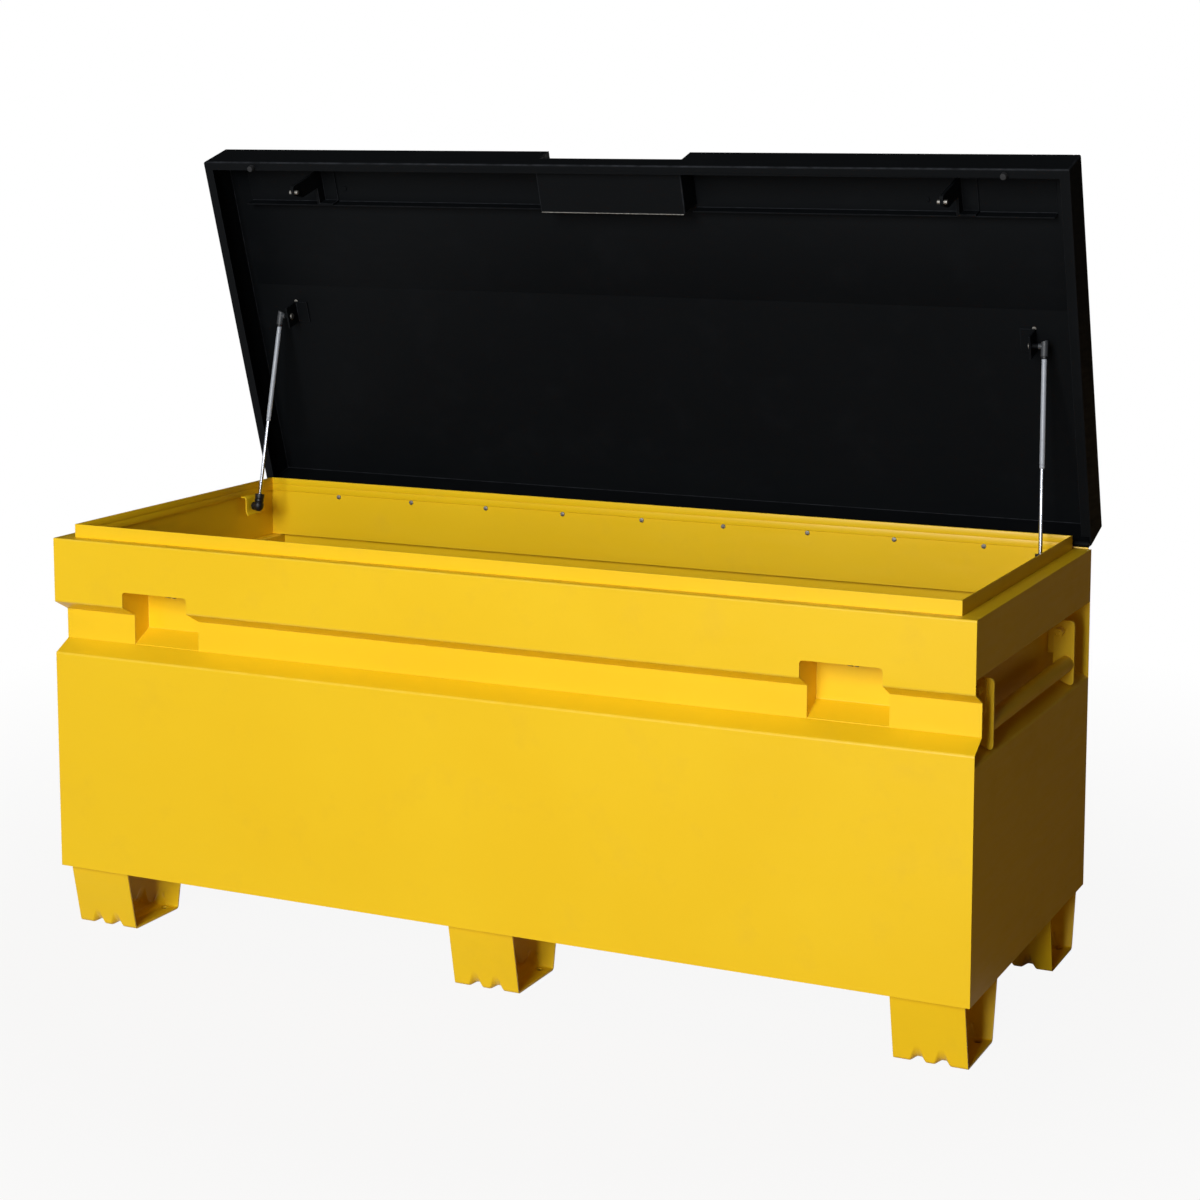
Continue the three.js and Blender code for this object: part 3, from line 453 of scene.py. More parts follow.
# Sheet parts: node, sheet thickness, fold radius, inside radius, easing of the cut edges
SHEETS = {
    "strut_lid_bracket_left": (3, 1.5, 0.8, 0.5), "strut_lid_bracket_right": (3, 1.5, 0.8, 0.5),
    "front_band": (2, 3.0, 1.0, 0.4), "front_panel": (2, 3.0, 1.0, 0.15),
    "back_panel": (2, 3.0, 1.0, 0.4), "floor_panel": (2, 2.0, 1.0, 0.4),
    "side_panel_left": (2, 3.0, 1.0, 0.4), "side_panel_right": (2, 3.0, 1.0, 0.4),
    "rim_frame": (2, 0.9, 0.2, 0.4),
    "lock_pocket_left": (2, 1.5, 0.8, 0.15), "lock_pocket_right": (2, 1.5, 0.8, 0.15),
    "padlock_staple_left": (4, 0.8, 0.5, 0.5), "padlock_staple_right": (4, 0.8, 0.5, 0.5),
    "latch_lever_left": (3, 0.6, 0.3, 0.4), "latch_lever_right": (3, 0.6, 0.3, 0.4),
    "lid_shell": (2, 3.0, 1.0, 0.4), "lift_recess": (2, 2.5, 1.0, 0.4),
    "lid_stiffener_left": (2, 2.5, 1.0, 0.4), "lid_stiffener_right": (2, 2.5, 1.0, 0.4),
    "lock_hook_left": (5, 1.0, 0.6, 0.6), "lock_hook_right": (5, 1.0, 0.6, 0.6),
}
for side in SIDES:
    for end in ("front", "back"):
        SHEETS[f"handle_arm_{side}_{end}"] = (5, 1.0, 0.5, 0.8)
        SHEETS[f"handle_lug_{side}_{end}"] = (4, 1.0, 0.5, 0.7)
for node, sizes in SHEETS.items():
    stand_in(node, node + "_sheet", softened_mesh(cad_nodes[node].data, *sizes))


# A turned-back hem on the inner faces of the rim strip: two flat folds, one above the other
HEM = 1.0
HEM_X = 733
HEM_FRONT = -320.866
HEM_BACK = 250.634
HEM_LEVELS = ((637.2, 648.2), (648.8, 659.5))
HEM_EASE = 0.3
HEM_STRIPS = (
    (-HEM_X, HEM_FRONT, HEM_X, HEM_FRONT + HEM), (-HEM_X, HEM_BACK - HEM, HEM_X, HEM_BACK),
    (-HEM_X, HEM_FRONT, HEM - HEM_X, HEM_BACK), (HEM_X - HEM, HEM_FRONT, HEM_X, HEM_BACK))
for level, (low_z, high_z) in enumerate(HEM_LEVELS):
    settle(f"rim_hem_{level}", joined_mesh([
        slab_mesh((x0, y0, low_z), (x1, y1, high_z), HEM_EASE) for x0, y0, x1, y1 in HEM_STRIPS]),
        "box", "yellow_powder_coat")


# Paint and sealer fill the seam between the floor and the walls
FLOOR_TOP = 103
FILLET = 1.6
FILLET_LAP = 0.3
FILLET_EASE = 0.7
low, _, high = extent("floor_panel")
seams = [((x - FILLET, low.y - FILLET_LAP), (x + FILLET, high.y + FILLET_LAP)) for x in (low.x, high.x)]
seams += [((low.x - FILLET_LAP, y - FILLET), (high.x + FILLET_LAP, y + FILLET)) for y in (low.y, high.y)]
settle("floor_seam_fillet", joined_mesh([
    slab_mesh((*near, FLOOR_TOP - FILLET), (*far, FLOOR_TOP + FILLET), FILLET_EASE) for near, far in seams]),
    "box", "yellow_powder_coat")


# Feet: U channels of plate, with ribs pressed across the bends
FOOT_LENGTH = 108.6
FOOT_RISE = 100.7
FOOT_TOP_HALF = 80
FOOT_BASE_HALF = 59
FOOT_SHEET = 3
FOOT_BEND = 5
FOOT_EASE = 0.4
BASE_STEPS = 9
BEND_STEPS = 14
LEG_STEPS = 12
LENGTH_STEPS = 90
HOLE_X = 36.3
HOLE_Y = 45
HOLE_RADIUS = 5.5
DRILL_REACH = (-5, 8)
RIB_PLACES = (-18.5, 17)
RIB_HALF = 13  # half a rib's width along the foot
RIB_FLAT = 2.5  # half the width of its flat middle
RIB_RISE = 4  # how far it lifts the bend's corner
RIB_IN = 4  # how far it draws the corner in
RIB_UP = 22  # how far it reaches up the leg
BEND_PULL = 0.6  # how far the bend's curve follows base and leg, in bend and rib sizes
RIB_PULL = 0.4


def rib_share(x):
    """How far the rib is pressed in at this place along the foot, 0 to 1."""
    nearest = min(abs(x - place) for place in RIB_PLACES)
    share = min(max((RIB_HALF - nearest) / (RIB_HALF - RIB_FLAT), 0), 1)
    return share * share * (3 - 2 * share)


def foot_section(pressed):
    """Half the foot's outer line, from the middle of its base to the top of a leg."""
    corner = Vector((FOOT_BASE_HALF, 0))
    top = Vector((FOOT_TOP_HALF, FOOT_RISE))
    outward = Vector((1, 0))
    rise = (top - corner).normalized()
    low = corner + Vector((-RIB_IN, RIB_RISE)) * pressed - outward * FOOT_BEND * (1 + pressed)
    high = corner + rise * (FOOT_BEND + RIB_UP * pressed)
    curve = (low, low + outward * FOOT_BEND * BEND_PULL * (1 + pressed),
             high - rise * (FOOT_BEND * BEND_PULL + RIB_UP * RIB_PULL * pressed), high)
    line = [Vector((0, low.y)).lerp(low, step / BASE_STEPS) for step in range(BASE_STEPS)]
    for step in range(BEND_STEPS + 1):
        t = step / BEND_STEPS
        weights = ((1 - t) ** 3, 3 * t * (1 - t) ** 2, 3 * t * t * (1 - t), t ** 3)
        line.append(sum((point * weight for point, weight in zip(curve, weights)), Vector((0, 0))))
    line += [high.lerp(top, step / LEG_STEPS) for step in range(1, LEG_STEPS + 1)]
    return line


def foot_mesh(centre):
    """One foot with its ribs and its four bolt holes."""
    build = bmesh.new()
    columns = []
    for step in range(LENGTH_STEPS + 1):
        x = FOOT_LENGTH * (step / LENGTH_STEPS - 0.5)
        half = foot_section(rib_share(x))
        line = [Vector((-y, z)) for y, z in reversed(half)] + half[1:]
        columns.append([build.verts.new(
            Vector((centre.x + x, centre.y + y, z)) * MM) for y, z in line])
    for near, far in zip(columns, columns[1:]):
        for step in range(len(near) - 1):
            build.faces.new((near[step], near[step + 1], far[step + 1], far[step]))
    drill = linked("drill", joined_mesh([
        turned_mesh((centre.x + x, centre.y + y, 0), (0, 0, 1), round_line(HOLE_RADIUS, *DRILL_REACH), 24)
        for x in (-HOLE_X, HOLE_X) for y in (-HOLE_Y, HOLE_Y)]))
    mesh = with_modifiers(
        made_mesh(build),
        ("SOLIDIFY", {"thickness": FOOT_SHEET * MM, "offset": -1.0}),
        ("BOOLEAN", {"operation": "DIFFERENCE", "object": drill, "solver": "EXACT"}),
        eased_edges(FOOT_EASE, 80, use_clamp_overlap=False))
    bpy.data.objects.remove(drill)
    for point in mesh.vertices:
        point.co.z = max(point.co.z, 0)
    return shaded(mesh, 40)


for node in feet:
    stand_in(node, node + "_pressed", foot_mesh(extent(node)[1]))


# Handles: a tube between the arms, bolts through arm and lug
TUBE_OUTSIDE = 12.5
TUBE_BORE = 10.5
HANDLE_Z = 525
HANDLE_X = 741
SHANK_RADIUS = 5
SHANK_SINK = 1
SHANK_EASE = 0.4
NUT = 5
NUT_FLAT = 13.6
NUT_EASE = 0.5
BOSS = 19
BOSS_LINE = eased([
    (0, 0), (6.6, 0), (6.6, BOSS - 2), (7.2, BOSS - 2), (7.2, BOSS), (4.6, BOSS), (4.6, BOSS - 0.8),
    (3.6, BOSS - 0.8), (3.6, BOSS + 0.6), (0, BOSS + 0.6)], 0.3)
for side in SIDES:
    node = f"handle_bar_{side}"
    low, middle, high = extent(node)
    length = high.y - low.y
    pipe = [(TUBE_BORE, 0), (TUBE_OUTSIDE, 0), (TUBE_OUTSIDE, length), (TUBE_BORE, length), (TUBE_BORE, 0)]
    stand_in(node, f"handle_tube_{side}", turned_mesh((middle.x, low.y, middle.z), (0, 1, 0), pipe, 64))
for side, sign in SIDES.items():
    x = sign * HANDLE_X
    for end in ("front", "back"):
        node = f"handle_bolt_{side}_{end}"
        low, _, high = extent(node)
        shank = round_line(SHANK_RADIUS, SHANK_SINK, high.y - low.y - SHANK_SINK, SHANK_EASE)
        bolt = joined_mesh([
            turned_mesh((x, high.y, HANDLE_Z), (0, -1, 0), shank, 32),
            hex_mesh((x, high.y, HANDLE_Z), (0, -1, 0), NUT_FLAT, NUT, NUT_EASE),
            turned_mesh((x, low.y + NUT, HANDLE_Z), (0, -1, 0), BOSS_LINE, 40)])
        stand_in(node, node + "_boss", shaded(bolt, 30))


# Struts: each runs from the upper ball on the lid down to the lower ball on the body.
# Their outlines list radius and distance from the ball.
UPPER_BALL = Vector((692, 223.4, 956.0))
LOWER_BALL = Vector((708, 166.1, 621.0))
STRUT_LENGTH = (LOWER_BALL - UPPER_BALL).length
SOCKET_REACH = 22
SOCKET_RADIUS = 9
DOME_STEPS = 7
DOME = [(SOCKET_RADIUS * math.sin(turn), -SOCKET_RADIUS * math.cos(turn))
        for turn in [math.pi / 2 * step / DOME_STEPS for step in range(DOME_STEPS)]]
COLLAR = eased([
    (SOCKET_RADIUS, 0), (SOCKET_RADIUS, 4.5), (7.2, 7.5), (8.2, 9), (8.2, 12.5), (7.4, 13), (7.4, 14),
    (8.2, 14.5), (8.2, SOCKET_REACH), (0, SOCKET_REACH)], 0.6)
SOCKET_BOSS = eased([(0, 0), (7.4, 0), (7.4, 10), (6, 12), (0, 12)], 0.8)
RING_TOP = 15.6
FITTING_REACH = 19
FITTING_LINE = round_line(5.6, -8, RING_TOP, 0.7)
FITTING_BOSS = round_line(4.4, 0, 9.5, 0.6)
RING_LINE = round_line(5, RING_TOP - 0.3, FITTING_REACH, 0.5)
SLANT_TOP = -6  # the fitting's end past this place along the strut is slanted
SLANT = 0.3
TUBE_TOP = FITTING_REACH + 0.3
TUBE_FOOT = 188.3
TUBE_RADIUS = 4.1
ROD_RADIUS = 3.1
TUBE_LINE = eased([
    (0, TUBE_TOP), (TUBE_RADIUS - 0.8, TUBE_TOP), (TUBE_RADIUS, TUBE_TOP + 1), (TUBE_RADIUS, TUBE_FOOT - 7.5),
    (TUBE_RADIUS - 0.5, TUBE_FOOT - 6.2), (TUBE_RADIUS, TUBE_FOOT - 4.9), (TUBE_RADIUS, TUBE_FOOT - 2.2),
    (TUBE_RADIUS - 0.9, TUBE_FOOT), (3.2, TUBE_FOOT), (3.2, TUBE_FOOT - 3), (0, TUBE_FOOT - 3)], 0.7)
ROD_LINE = round_line(ROD_RADIUS, TUBE_FOOT - 22, STRUT_LENGTH - SOCKET_REACH, 0.3)


def upper_fitting_mesh(ball, down, inboard):
    """A round fitting with a slanted top and a boss for the stud."""
    body = turned_mesh(ball, down, FITTING_LINE, 48)
    for point in body.vertices:
        from_ball = point.co / MM - ball
        if from_ball.dot(down) < SLANT_TOP:
            point.co += down * from_ball.dot(inboard) * SLANT * MM
    return joined_mesh([body, turned_mesh(ball, inboard, FITTING_BOSS, 32)])


for side, sign in SIDES.items():
    upper, lower = (Vector((sign * ball.x, ball.y, ball.z)) for ball in (UPPER_BALL, LOWER_BALL))
    down = (lower - upper).normalized()
    outboard = Vector((sign, 0, 0))
    node = f"strut_lower_socket_{side}"
    stand_in(node, node + "_moulded", joined_mesh([
        turned_mesh(lower, -down, DOME + COLLAR, 48), turned_mesh(lower, outboard, SOCKET_BOSS, 40)]))
    node = f"strut_upper_socket_{side}"
    # The upper fitting is black nylon; its lighter grey copy paints in the light that falls on it
    stand_in(node, node + "_fitting", upper_fitting_mesh(upper, down, -outboard), "black_nylon_lit_copy")
    settle(f"strut_ring_{side}", turned_mesh(upper, down, RING_LINE, 48), body_of[node], "black_nylon")
    node = f"strut_cylinder_{side}"
    stand_in(node, node + "_tube", turned_mesh(upper, down, TUBE_LINE, 48))
    node = f"strut_rod_{side}"
    stand_in(node, node + "_ground", turned_mesh(upper, down, ROD_LINE, 48))


# Repeats, made by Geometry Nodes


def blank_tree(name, sockets):
    """A Geometry Nodes tree with these inputs, and the sockets that give them."""
    tree = bpy.data.node_groups.new(name, "GeometryNodeTree")
    for label, kind in sockets.items():
        tree.interface.new_socket(name=label, in_out="INPUT", socket_type="NodeSocket" + kind)
    tree.interface.new_socket(name="Geometry", in_out="OUTPUT", socket_type="NodeSocketGeometry")
    return tree, add(tree, "NodeGroupInput", {}).outputs


def row_tree():
    """A tree that sets a part at even steps along a line."""
    tree, given = blank_tree("row_of_parts", {
        "Part": "Object", "Count": "Int", "Start": "Vector", "Step": "Vector", "Finish": "Material"})
    part = add(tree, "GeometryNodeObjectInfo", {"Object": given["Part"]})
    line = add(tree, "GeometryNodeMeshLine", {
        "Count": given["Count"], "Start Location": given["Start"], "Offset": given["Step"]}, mode="OFFSET")
    placed = add(tree, "GeometryNodeInstanceOnPoints", {
        "Points": line.outputs[0], "Instance": part.outputs["Geometry"]})
    real = add(tree, "GeometryNodeRealizeInstances", {0: placed.outputs[0]})
    finished = add(tree, "GeometryNodeSetMaterial", {
        "Geometry": real.outputs[0], "Material": given["Finish"]})
    add(tree, "NodeGroupOutput", {0: finished.outputs[0]})
    return tree


def weld_tree():
    """A tree that lays a weld: drops of slightly uneven size that overlap along a line."""
    tree, given = blank_tree("weld_bead", {
        "Start": "Vector", "End": "Vector", "Drops": "Int", "Radius": "Float", "Finish": "Material"})
    line = add(tree, "GeometryNodeMeshLine", {
        "Count": given["Drops"], "Start Location": given["Start"], "Offset": given["End"]}, mode="END_POINTS")
    drop = add(tree, "GeometryNodeMeshIcoSphere", {"Radius": given["Radius"], "Subdivisions": 2})
    uneven = add(tree, "FunctionNodeRandomValue", {2: 0.8, 3: 1.15, "Seed": 7}, data_type="FLOAT")
    placed = add(tree, "GeometryNodeInstanceOnPoints", {
        "Points": line.outputs[0], "Instance": drop.outputs[0], "Scale": uneven.outputs[1]})
    real = add(tree, "GeometryNodeRealizeInstances", {0: placed.outputs[0]})
    smooth = add(tree, "GeometryNodeSetShadeSmooth", {"Geometry": real.outputs[0]})
    finished = add(tree, "GeometryNodeSetMaterial", {
        "Geometry": smooth.outputs[0], "Material": given["Finish"]})
    add(tree, "NodeGroupOutput", {0: finished.outputs[0]})
    return tree


def grown(tree, values):
    """The mesh that a Geometry Nodes tree gives for these inputs."""
    holder = linked("grown", bpy.data.meshes.new("grown"))
    modifier = holder.modifiers.new("tree", "NODES")
    modifier.node_group = tree
    for item in tree.interface.items_tree:
        if item.name in values:
            modifier[item.identifier] = values[item.name]
    shown = holder.evaluated_get(bpy.context.evaluated_depsgraph_get())
    mesh = bpy.data.meshes.new_from_object(shown)
    bpy.data.objects.remove(holder)
    return mesh


ROW = row_tree()
WELD = weld_tree()
DROP_STEP = 0.8  # distance between a weld's drops, in drop radii


def row_mesh(part, count, start, step, slot):
    """A part's mesh repeated from start, step by step along x."""
    template = linked("template", part)
    mesh = grown(ROW, {"Part": template, "Count": count, "Start": Vector(start) * MM,
                       "Step": Vector((step, 0, 0)) * MM, "Finish": MATERIALS[slot]})
    bpy.data.objects.remove(template)
    return mesh


def weld_mesh(start, end, radius, slot):
    """A weld between two places."""
    start, end = Vector(start), Vector(end)
    drops = max(3, round((end - start).length / (radius * DROP_STEP)))
    return grown(WELD, {"Start": start * MM, "End": end * MM, "Drops": drops, "Radius": radius * MM,
                        "Finish": MATERIALS[slot]})


# Hinge: two leaves, knuckles in turn on the lid's and the body's leaf, a peened pin, screws.
# The leaves' faces are measured from the pin.
HINGE_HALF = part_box("hinge_body_leaf")[1].x / MM
LEAF_EASE = 0.5
BODY_LEAF = (-4.7, -2.7)
BODY_LEAF_Z = (607, 640.6)
LID_LEAF = (4.3, 6.3)
LID_LEAF_UP = (5.5, 38)
LID_NECK = (-4.9, -2.9)
KNUCKLES = 59
KNUCKLE_STEP = 2 * HINGE_HALF / KNUCKLES
KNUCKLE_GAP = 0.5
KNUCKLE_EASE = 0.35
KNUCKLE_RADIUS = 5
ROLL = 302  # degrees that a knuckle goes round the pin
ROLL_STEPS = 24
NECK = 6.2
PIN_RADIUS = 2
PIN_EASE = 0.8
SCREWS = 11
SCREW_STEP = 148.4
FIRST_SCREW = -SCREW_STEP * (SCREWS - 1) / 2
SCREW_HEAD = round_line(4.6, 0, 2.2, 1.6)
BODY_SCREW_Z = 626
LID_SCREW_UP = 24


def knuckle_outline(near, far):
    """A leaf that runs down from the pin and is rolled round it: near and far are its faces."""
    turns = [math.radians(180 - ROLL * step / ROLL_STEPS) for step in range(ROLL_STEPS + 1)]
    line = [(KNUCKLE_RADIUS * math.cos(turn), KNUCKLE_RADIUS * math.sin(turn)) for turn in turns]
    return line + [(far, -NECK), (near, -NECK)]


def knuckle_mesh(outline):
    """One knuckle of the hinge."""
    return extruded_mesh(outline, KNUCKLE_STEP - KNUCKLE_GAP, KNUCKLE_EASE)


body_knuckle = knuckle_mesh(knuckle_outline(*BODY_LEAF))
lid_knuckle = knuckle_mesh([(-y, -z) for y, z in knuckle_outline(*LID_NECK)])
lid_knuckle.transform(LID_TURN)
first = Vector((KNUCKLE_GAP / 2 - HINGE_HALF, HINGE_Y, HINGE_Z))
second = first + Vector((KNUCKLE_STEP, 0, 0))
heads = turned_mesh((0, 0, 0), (0, 1, 0), SCREW_HEAD, 24)
near, far = (HINGE_Y + face for face in BODY_LEAF)
stand_in("hinge_body_leaf", "hinge_body_leaf_rolled", joined_mesh([
    slab_mesh((-HINGE_HALF, near, BODY_LEAF_Z[0]), (HINGE_HALF, far, BODY_LEAF_Z[1]), LEAF_EASE),
    row_mesh(body_knuckle, KNUCKLES // 2, second, 2 * KNUCKLE_STEP, "yellow_powder_coat"),
    row_mesh(heads, SCREWS, (FIRST_SCREW, far, BODY_SCREW_Z), SCREW_STEP, "yellow_powder_coat")]))
heads.transform(LID_TURN)
near, far = LID_LEAF
stand_in("hinge_lid_leaf", "hinge_lid_leaf_rolled", joined_mesh([
    opened(slab_mesh((-HINGE_HALF, near, LID_LEAF_UP[0]), (HINGE_HALF, far, LID_LEAF_UP[1]), LEAF_EASE)),
    row_mesh(lid_knuckle, KNUCKLES // 2 + 1, first, 2 * KNUCKLE_STEP, "black_powder_coat"),
    row_mesh(heads, SCREWS, on_lid(FIRST_SCREW, -far, LID_SCREW_UP), SCREW_STEP, "black_powder_coat")]))
pin = turned_mesh(
    (-HINGE_HALF, HINGE_Y, HINGE_Z), (1, 0, 0), round_line(PIN_RADIUS, 0, 2 * HINGE_HALF, PIN_EASE), 24)
stand_in("hinge_pin", "hinge_pin_peened", pin)

# Nuts and ends of the hinge's screws on the inner back wall
WALL_Y = 252.634
NUT_Z = 633
SCREW_NUT = (7.0, 3.2, 0.3)  # width across the flats, height, easing
SCREW_TIP = round_line(2.0, 0, 5.0, 0.5)
nut = joined_mesh([
    hex_mesh((0, 0, 0), (0, -1, 0), *SCREW_NUT), turned_mesh((0, 0, 0), (0, -1, 0), SCREW_TIP, 16)])
nuts = row_mesh(nut, SCREWS, (FIRST_SCREW, WALL_Y, NUT_Z), SCREW_STEP, "zinc_plate")
nuts.set_sharp_from_angle(angle=math.radians(30))
settle("hinge_nuts", nuts, "box", "zinc_plate")


# Rivets, lining, bumpers and stud ends of the lid, and the pins of its hooks and of the latches.
# Places on the lid are x, forward and up from the hinge.
STIFFENER_RIVETS = ((-527, 543, 70.7), (516, 539, 70.7))
BRACKET_RIVETS = [(sign * 670.5, 330, 72.8) for sign in SIDES.values()]
LINING = ((-744, -596, 72.2), (744, -361.5, 73.0))
LINING_EASE = 0.3
BUMPER_X = 661
BUMPER_FORWARD = 602
BUMPER_LINE = eased([
    (0, -5.7), (4.7, -5.7), (5.4, -1.0), (5.4, 3.7), (3.8, 3.7), (3.8, 6.3), (5.4, 6.3), (5.4, 7.6),
    (2.6, 9.2), (0, 9.2)], 0.9)
STUD_END = (670, 311, 48)
STUD_END_LINE = round_line(5.4, 0, 3.2, 1.4)
ROUND_PINS = {"hook_pin": 3.5, "latch_pivot": 4.0}  # their radii


def lid_rivets(name, places, radius, height, slot):
    """Domed rivet heads inside the lid, facing down."""
    line = round_line(radius, 0, height, radius * 0.8)
    heads = joined_mesh([turned_mesh(on_lid(*place), -LID_UP, line, 24) for place in places])
    settle(name, heads, "lid", slot)


lid_rivets("stiffener_rivets", STIFFENER_RIVETS, 4, 2, "black_powder_coat")
lid_rivets("bracket_rivets", BRACKET_RIVETS, 3.5, 1.8, "zinc_plate")
settle("lid_lining", opened(slab_mesh(*LINING, LINING_EASE)), "lid", "black_powder_coat")
for side, sign in SIDES.items():
    node = f"lid_bumper_{side}"
    seat = on_lid(sign * BUMPER_X, BUMPER_FORWARD, 0)
    stand_in(node, node + "_moulded", turned_mesh(seat, LID_UP, BUMPER_LINE, 36))
    for part, radius in ROUND_PINS.items():
        node = f"{part}_{side}"
        low, middle, high = extent(node)
        line = round_line(radius, 0, high.x - low.x, PIN_EASE)
        stand_in(node, node + "_turned", turned_mesh((low.x, middle.y, middle.z), (1, 0, 0), line, 32))
    x, forward, up = STUD_END
    stud_end = turned_mesh(on_lid(sign * x, forward, up), (-sign, 0, 0), STUD_END_LINE, 32)
    settle(f"stud_end_{side}", stud_end, "lid", "zinc_plate")


# Brackets on the body for the struts: a strip bent down from the rim, with a flared foot, and a stud
STRIP_X = 722.3
STRIP_LINE = eased([(732.7, 637.8), (STRIP_X, 637.8), (STRIP_X, 612), (718.4, 605.5)], 5, 6)
STRIP_Y = (148.1, 191.1)
STRIP_SHEET = 2.4
STRIP_EASE = 0.5
STUD_LINE = round_line(4, 0, 4)
STUD_Y = 166.134
STUD_Z = 621
for side, sign in SIDES.items():
    node = f"strut_body_bracket_{side}"
    build = bmesh.new()
    front, back = ([build.verts.new(Vector((sign * x, y, z)) * MM) for x, z in STRIP_LINE] for y in STRIP_Y)
    for step in range(len(STRIP_LINE) - 1):
        build.faces.new((front[step], front[step + 1], back[step + 1], back[step]))
    strip = with_modifiers(
        made_mesh(build), ("SOLIDIFY", {"thickness": STRIP_SHEET * MM, "offset": 0.0}),
        eased_edges(STRIP_EASE, 50))
    stud = turned_mesh((sign * STRIP_X, STUD_Y, STUD_Z), (-sign, 0, 0), STUD_LINE, 32)
    stand_in(node, node + "_bent", joined_mesh([shaded(strip, 35), stud]))


# Welds: inside the tops of the feet's legs, and along the lower corner of the lift box
LEG_WELD_Y = 75.6
LEG_WELD_Z = 100.4
LEG_WELD_STARTS = (-38, 14)
LEG_WELD_LENGTH = 24
LEG_WELD_RADIUS = 2.2
LIFT_WELD = (126, 524.8, 20.9)
LIFT_WELD_RADIUS = 0.8
beads = []
for node in feet:
    middle = extent(node)[1]
    for y in (middle.y - LEG_WELD_Y, middle.y + LEG_WELD_Y):
        for start in LEG_WELD_STARTS:
            x = middle.x + start
            beads.append(weld_mesh(
                (x, y, LEG_WELD_Z), (x + LEG_WELD_LENGTH, y, LEG_WELD_Z), LEG_WELD_RADIUS,
                "yellow_powder_coat"))
settle("feet_welds", joined_mesh(beads), "box", "yellow_powder_coat")
# The lift box's weld takes the pale zinc finish, not the lid's black coat. Its light grey stands partly for
# bare metal and partly as a painted highlight for the glints along the weld
x, forward, up = LIFT_WELD
settle("lift_box_weld", weld_mesh(
    on_lid(-x, forward, up), on_lid(x, forward, up), LIFT_WELD_RADIUS, "zinc_plate"), "lid", "zinc_plate")


# Camera, light and floor, in metres
LAMPS = {  # place, width, height, power
    "key": ((0.05, -6.6, 3.0), 2.0, 2.8, 303),
    "low_fill": ((0.3, -6.6, 0.6), 2.0, 0.9, 42),
    "end_fill": ((1.3, -6.4, 1.7), 0.5, 1.8, 90),
    "back_fill": ((-0.7, 6.8, 1.35), 2.6, 2.6, 340),
}
LAMP_TARGET = Vector((0, 0, 0.6))
WHITE = linear("#FFFFFF")
WARM = linear("#FFC47C")
FLOOR_TONE = linear("#967D55")
FLOOR_RADIUS = 60
SPOT = 6  # half the side of a shaded spot under a bolt hole, and its height, in millimetres
SPOT_Z = 0.3


def set_camera():
    """The camera at the photograph's place."""
    data = bpy.data.cameras.new("camera")
    data.lens = 73.92
    data.sensor_width = 36
    data.shift_y = -0.15
    camera = linked("camera", data)
    camera.location = (1.693433, -3.477244, 1.303582)
    camera.rotation_euler = (math.radians(90 - 6.973), 0, math.radians(25.408))
    bpy.context.scene.camera = camera


def set_lamps():
    """A soft key light and fills, all aimed at the box."""
    for name, (place, width, height, power) in LAMPS.items():
        lamp = bpy.data.lights.new(name, "AREA")
        lamp.shape = "RECTANGLE"
        lamp.size, lamp.size_y = width, height
        lamp.energy = power
        holder = linked(name, lamp)
        holder.location = place
        holder.rotation_euler = (LAMP_TARGET - holder.location).to_track_quat("-Z", "Y").to_euler()


def sight(tree):
    """Whether a ray is seen by the camera, straight or through glass, and whether it is mirrored."""
    rays = add(tree, "ShaderNodeLightPath", {}).outputs
    return maths(tree, "MAXIMUM", rays["Is Camera Ray"], rays["Is Transmission Ray"]), rays["Is Glossy Ray"]


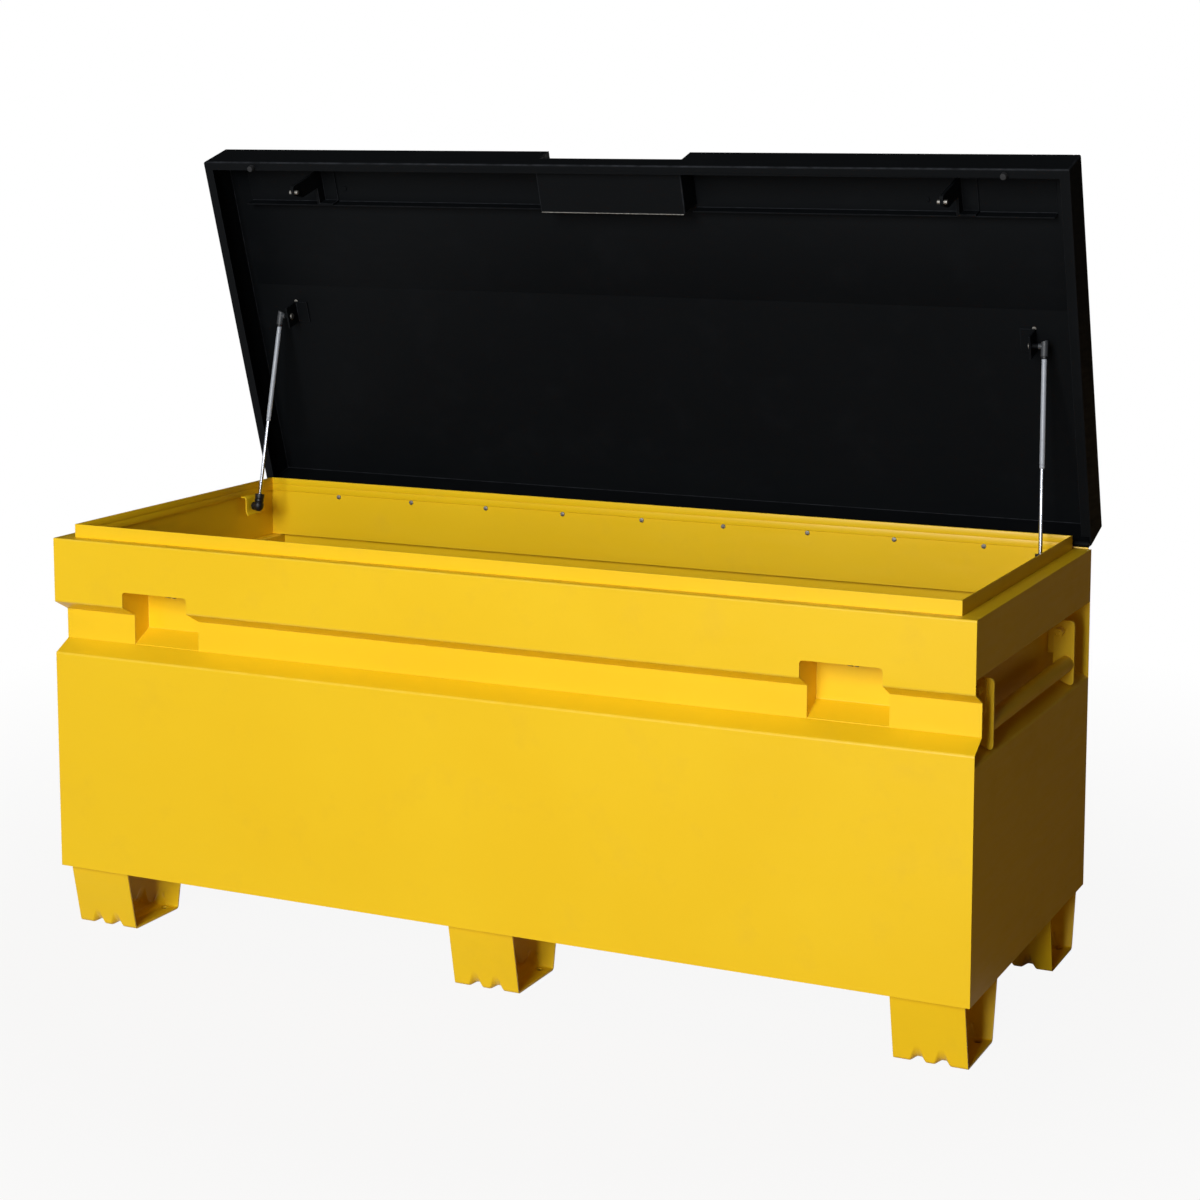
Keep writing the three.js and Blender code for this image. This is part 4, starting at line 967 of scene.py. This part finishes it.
def set_surround():
    """A surround that is white where it is seen, pale in front of mirrors, and a dim warm light."""
    world = bpy.data.worlds.new("surround")
    bpy.context.scene.world = world
    world.use_nodes = True
    tree = world.node_tree
    tree.nodes.clear()
    seen, mirrored = sight(tree)
    shown = maths(tree, "MAXIMUM", seen, mirrored)
    way = add(tree, "ShaderNodeTexCoord", {}).outputs["Generated"]
    front_wall = ramp(tree, along(tree, way, (0.4, 0.75, 0.5)), -0.3, 0.3, 1.0, 0.03)
    strength = ramp(tree, shown, 0.0, 1.0, 0.036, ramp(tree, seen, 0.0, 1.0, front_wall, 1.0))
    glow = add(tree, "ShaderNodeBackground", {
        "Color": blend(tree, shown, WARM, WHITE), "Strength": strength})
    add(tree, "ShaderNodeOutputWorld", {"Surface": glow.outputs[0]})


def pale_floor():
    """White where it is seen and in front of mirrors, a matt tan for other light."""
    material, tree, place = blank_material("pale_floor")
    seen, mirrored = sight(tree)
    distance = add(tree, "ShaderNodeVectorMath", {0: place}, operation="LENGTH").outputs["Value"]
    far = ramp(tree, distance, 0.9, 2.4, 0.92, 1.0)
    in_front = ramp(tree, along(tree, place, (0.45, 0.9, 0)), -0.4, 0.5, 1.0, 0.0)
    shown = maths(tree, "MAXIMUM", seen, maths(tree, "MULTIPLY", mirrored, in_front))
    matt = add(tree, "ShaderNodeBsdfDiffuse", {"Color": FLOOR_TONE})
    white = add(tree, "ShaderNodeEmission", {"Color": WHITE, "Strength": 1.0})
    mixed = add(tree, "ShaderNodeMixShader", {
        0: maths(tree, "MULTIPLY", shown, far), 1: matt.outputs[0], 2: white.outputs[0]})
    add(tree, "ShaderNodeOutputMaterial", {"Surface": mixed.outputs[0]})
    return material


def shaded_floor():
    """The same matt tan alone, for the floor in full shade."""
    material, tree, _ = blank_material("shaded_floor")
    matt = add(tree, "ShaderNodeBsdfDiffuse", {"Color": FLOOR_TONE})
    add(tree, "ShaderNodeOutputMaterial", {"Surface": matt.outputs[0]})
    return material


def set_floor():
    """A round floor, with a spot in full shade under each of the feet's bolt holes."""
    build = bmesh.new()
    bmesh.ops.create_circle(build, cap_ends=True, segments=96, radius=FLOOR_RADIUS)
    for node in feet:
        middle = extent(node)[1]
        for x in (middle.x - HOLE_X, middle.x + HOLE_X):
            for y in (middle.y - HOLE_Y, middle.y + HOLE_Y):
                spot = build.faces.new([
                    build.verts.new(Vector((x + a * SPOT, y + b * SPOT, SPOT_Z)) * MM)
                    for a, b in ((-1, -1), (1, -1), (1, 1), (-1, 1))])
                spot.material_index = 1
    mesh = made_mesh(build)
    mesh.materials.append(pale_floor())
    mesh.materials.append(shaded_floor())
    linked("floor", mesh)


set_camera()
set_lamps()
set_surround()
set_floor()
view = bpy.context.scene.view_settings
view.view_transform = "Standard"
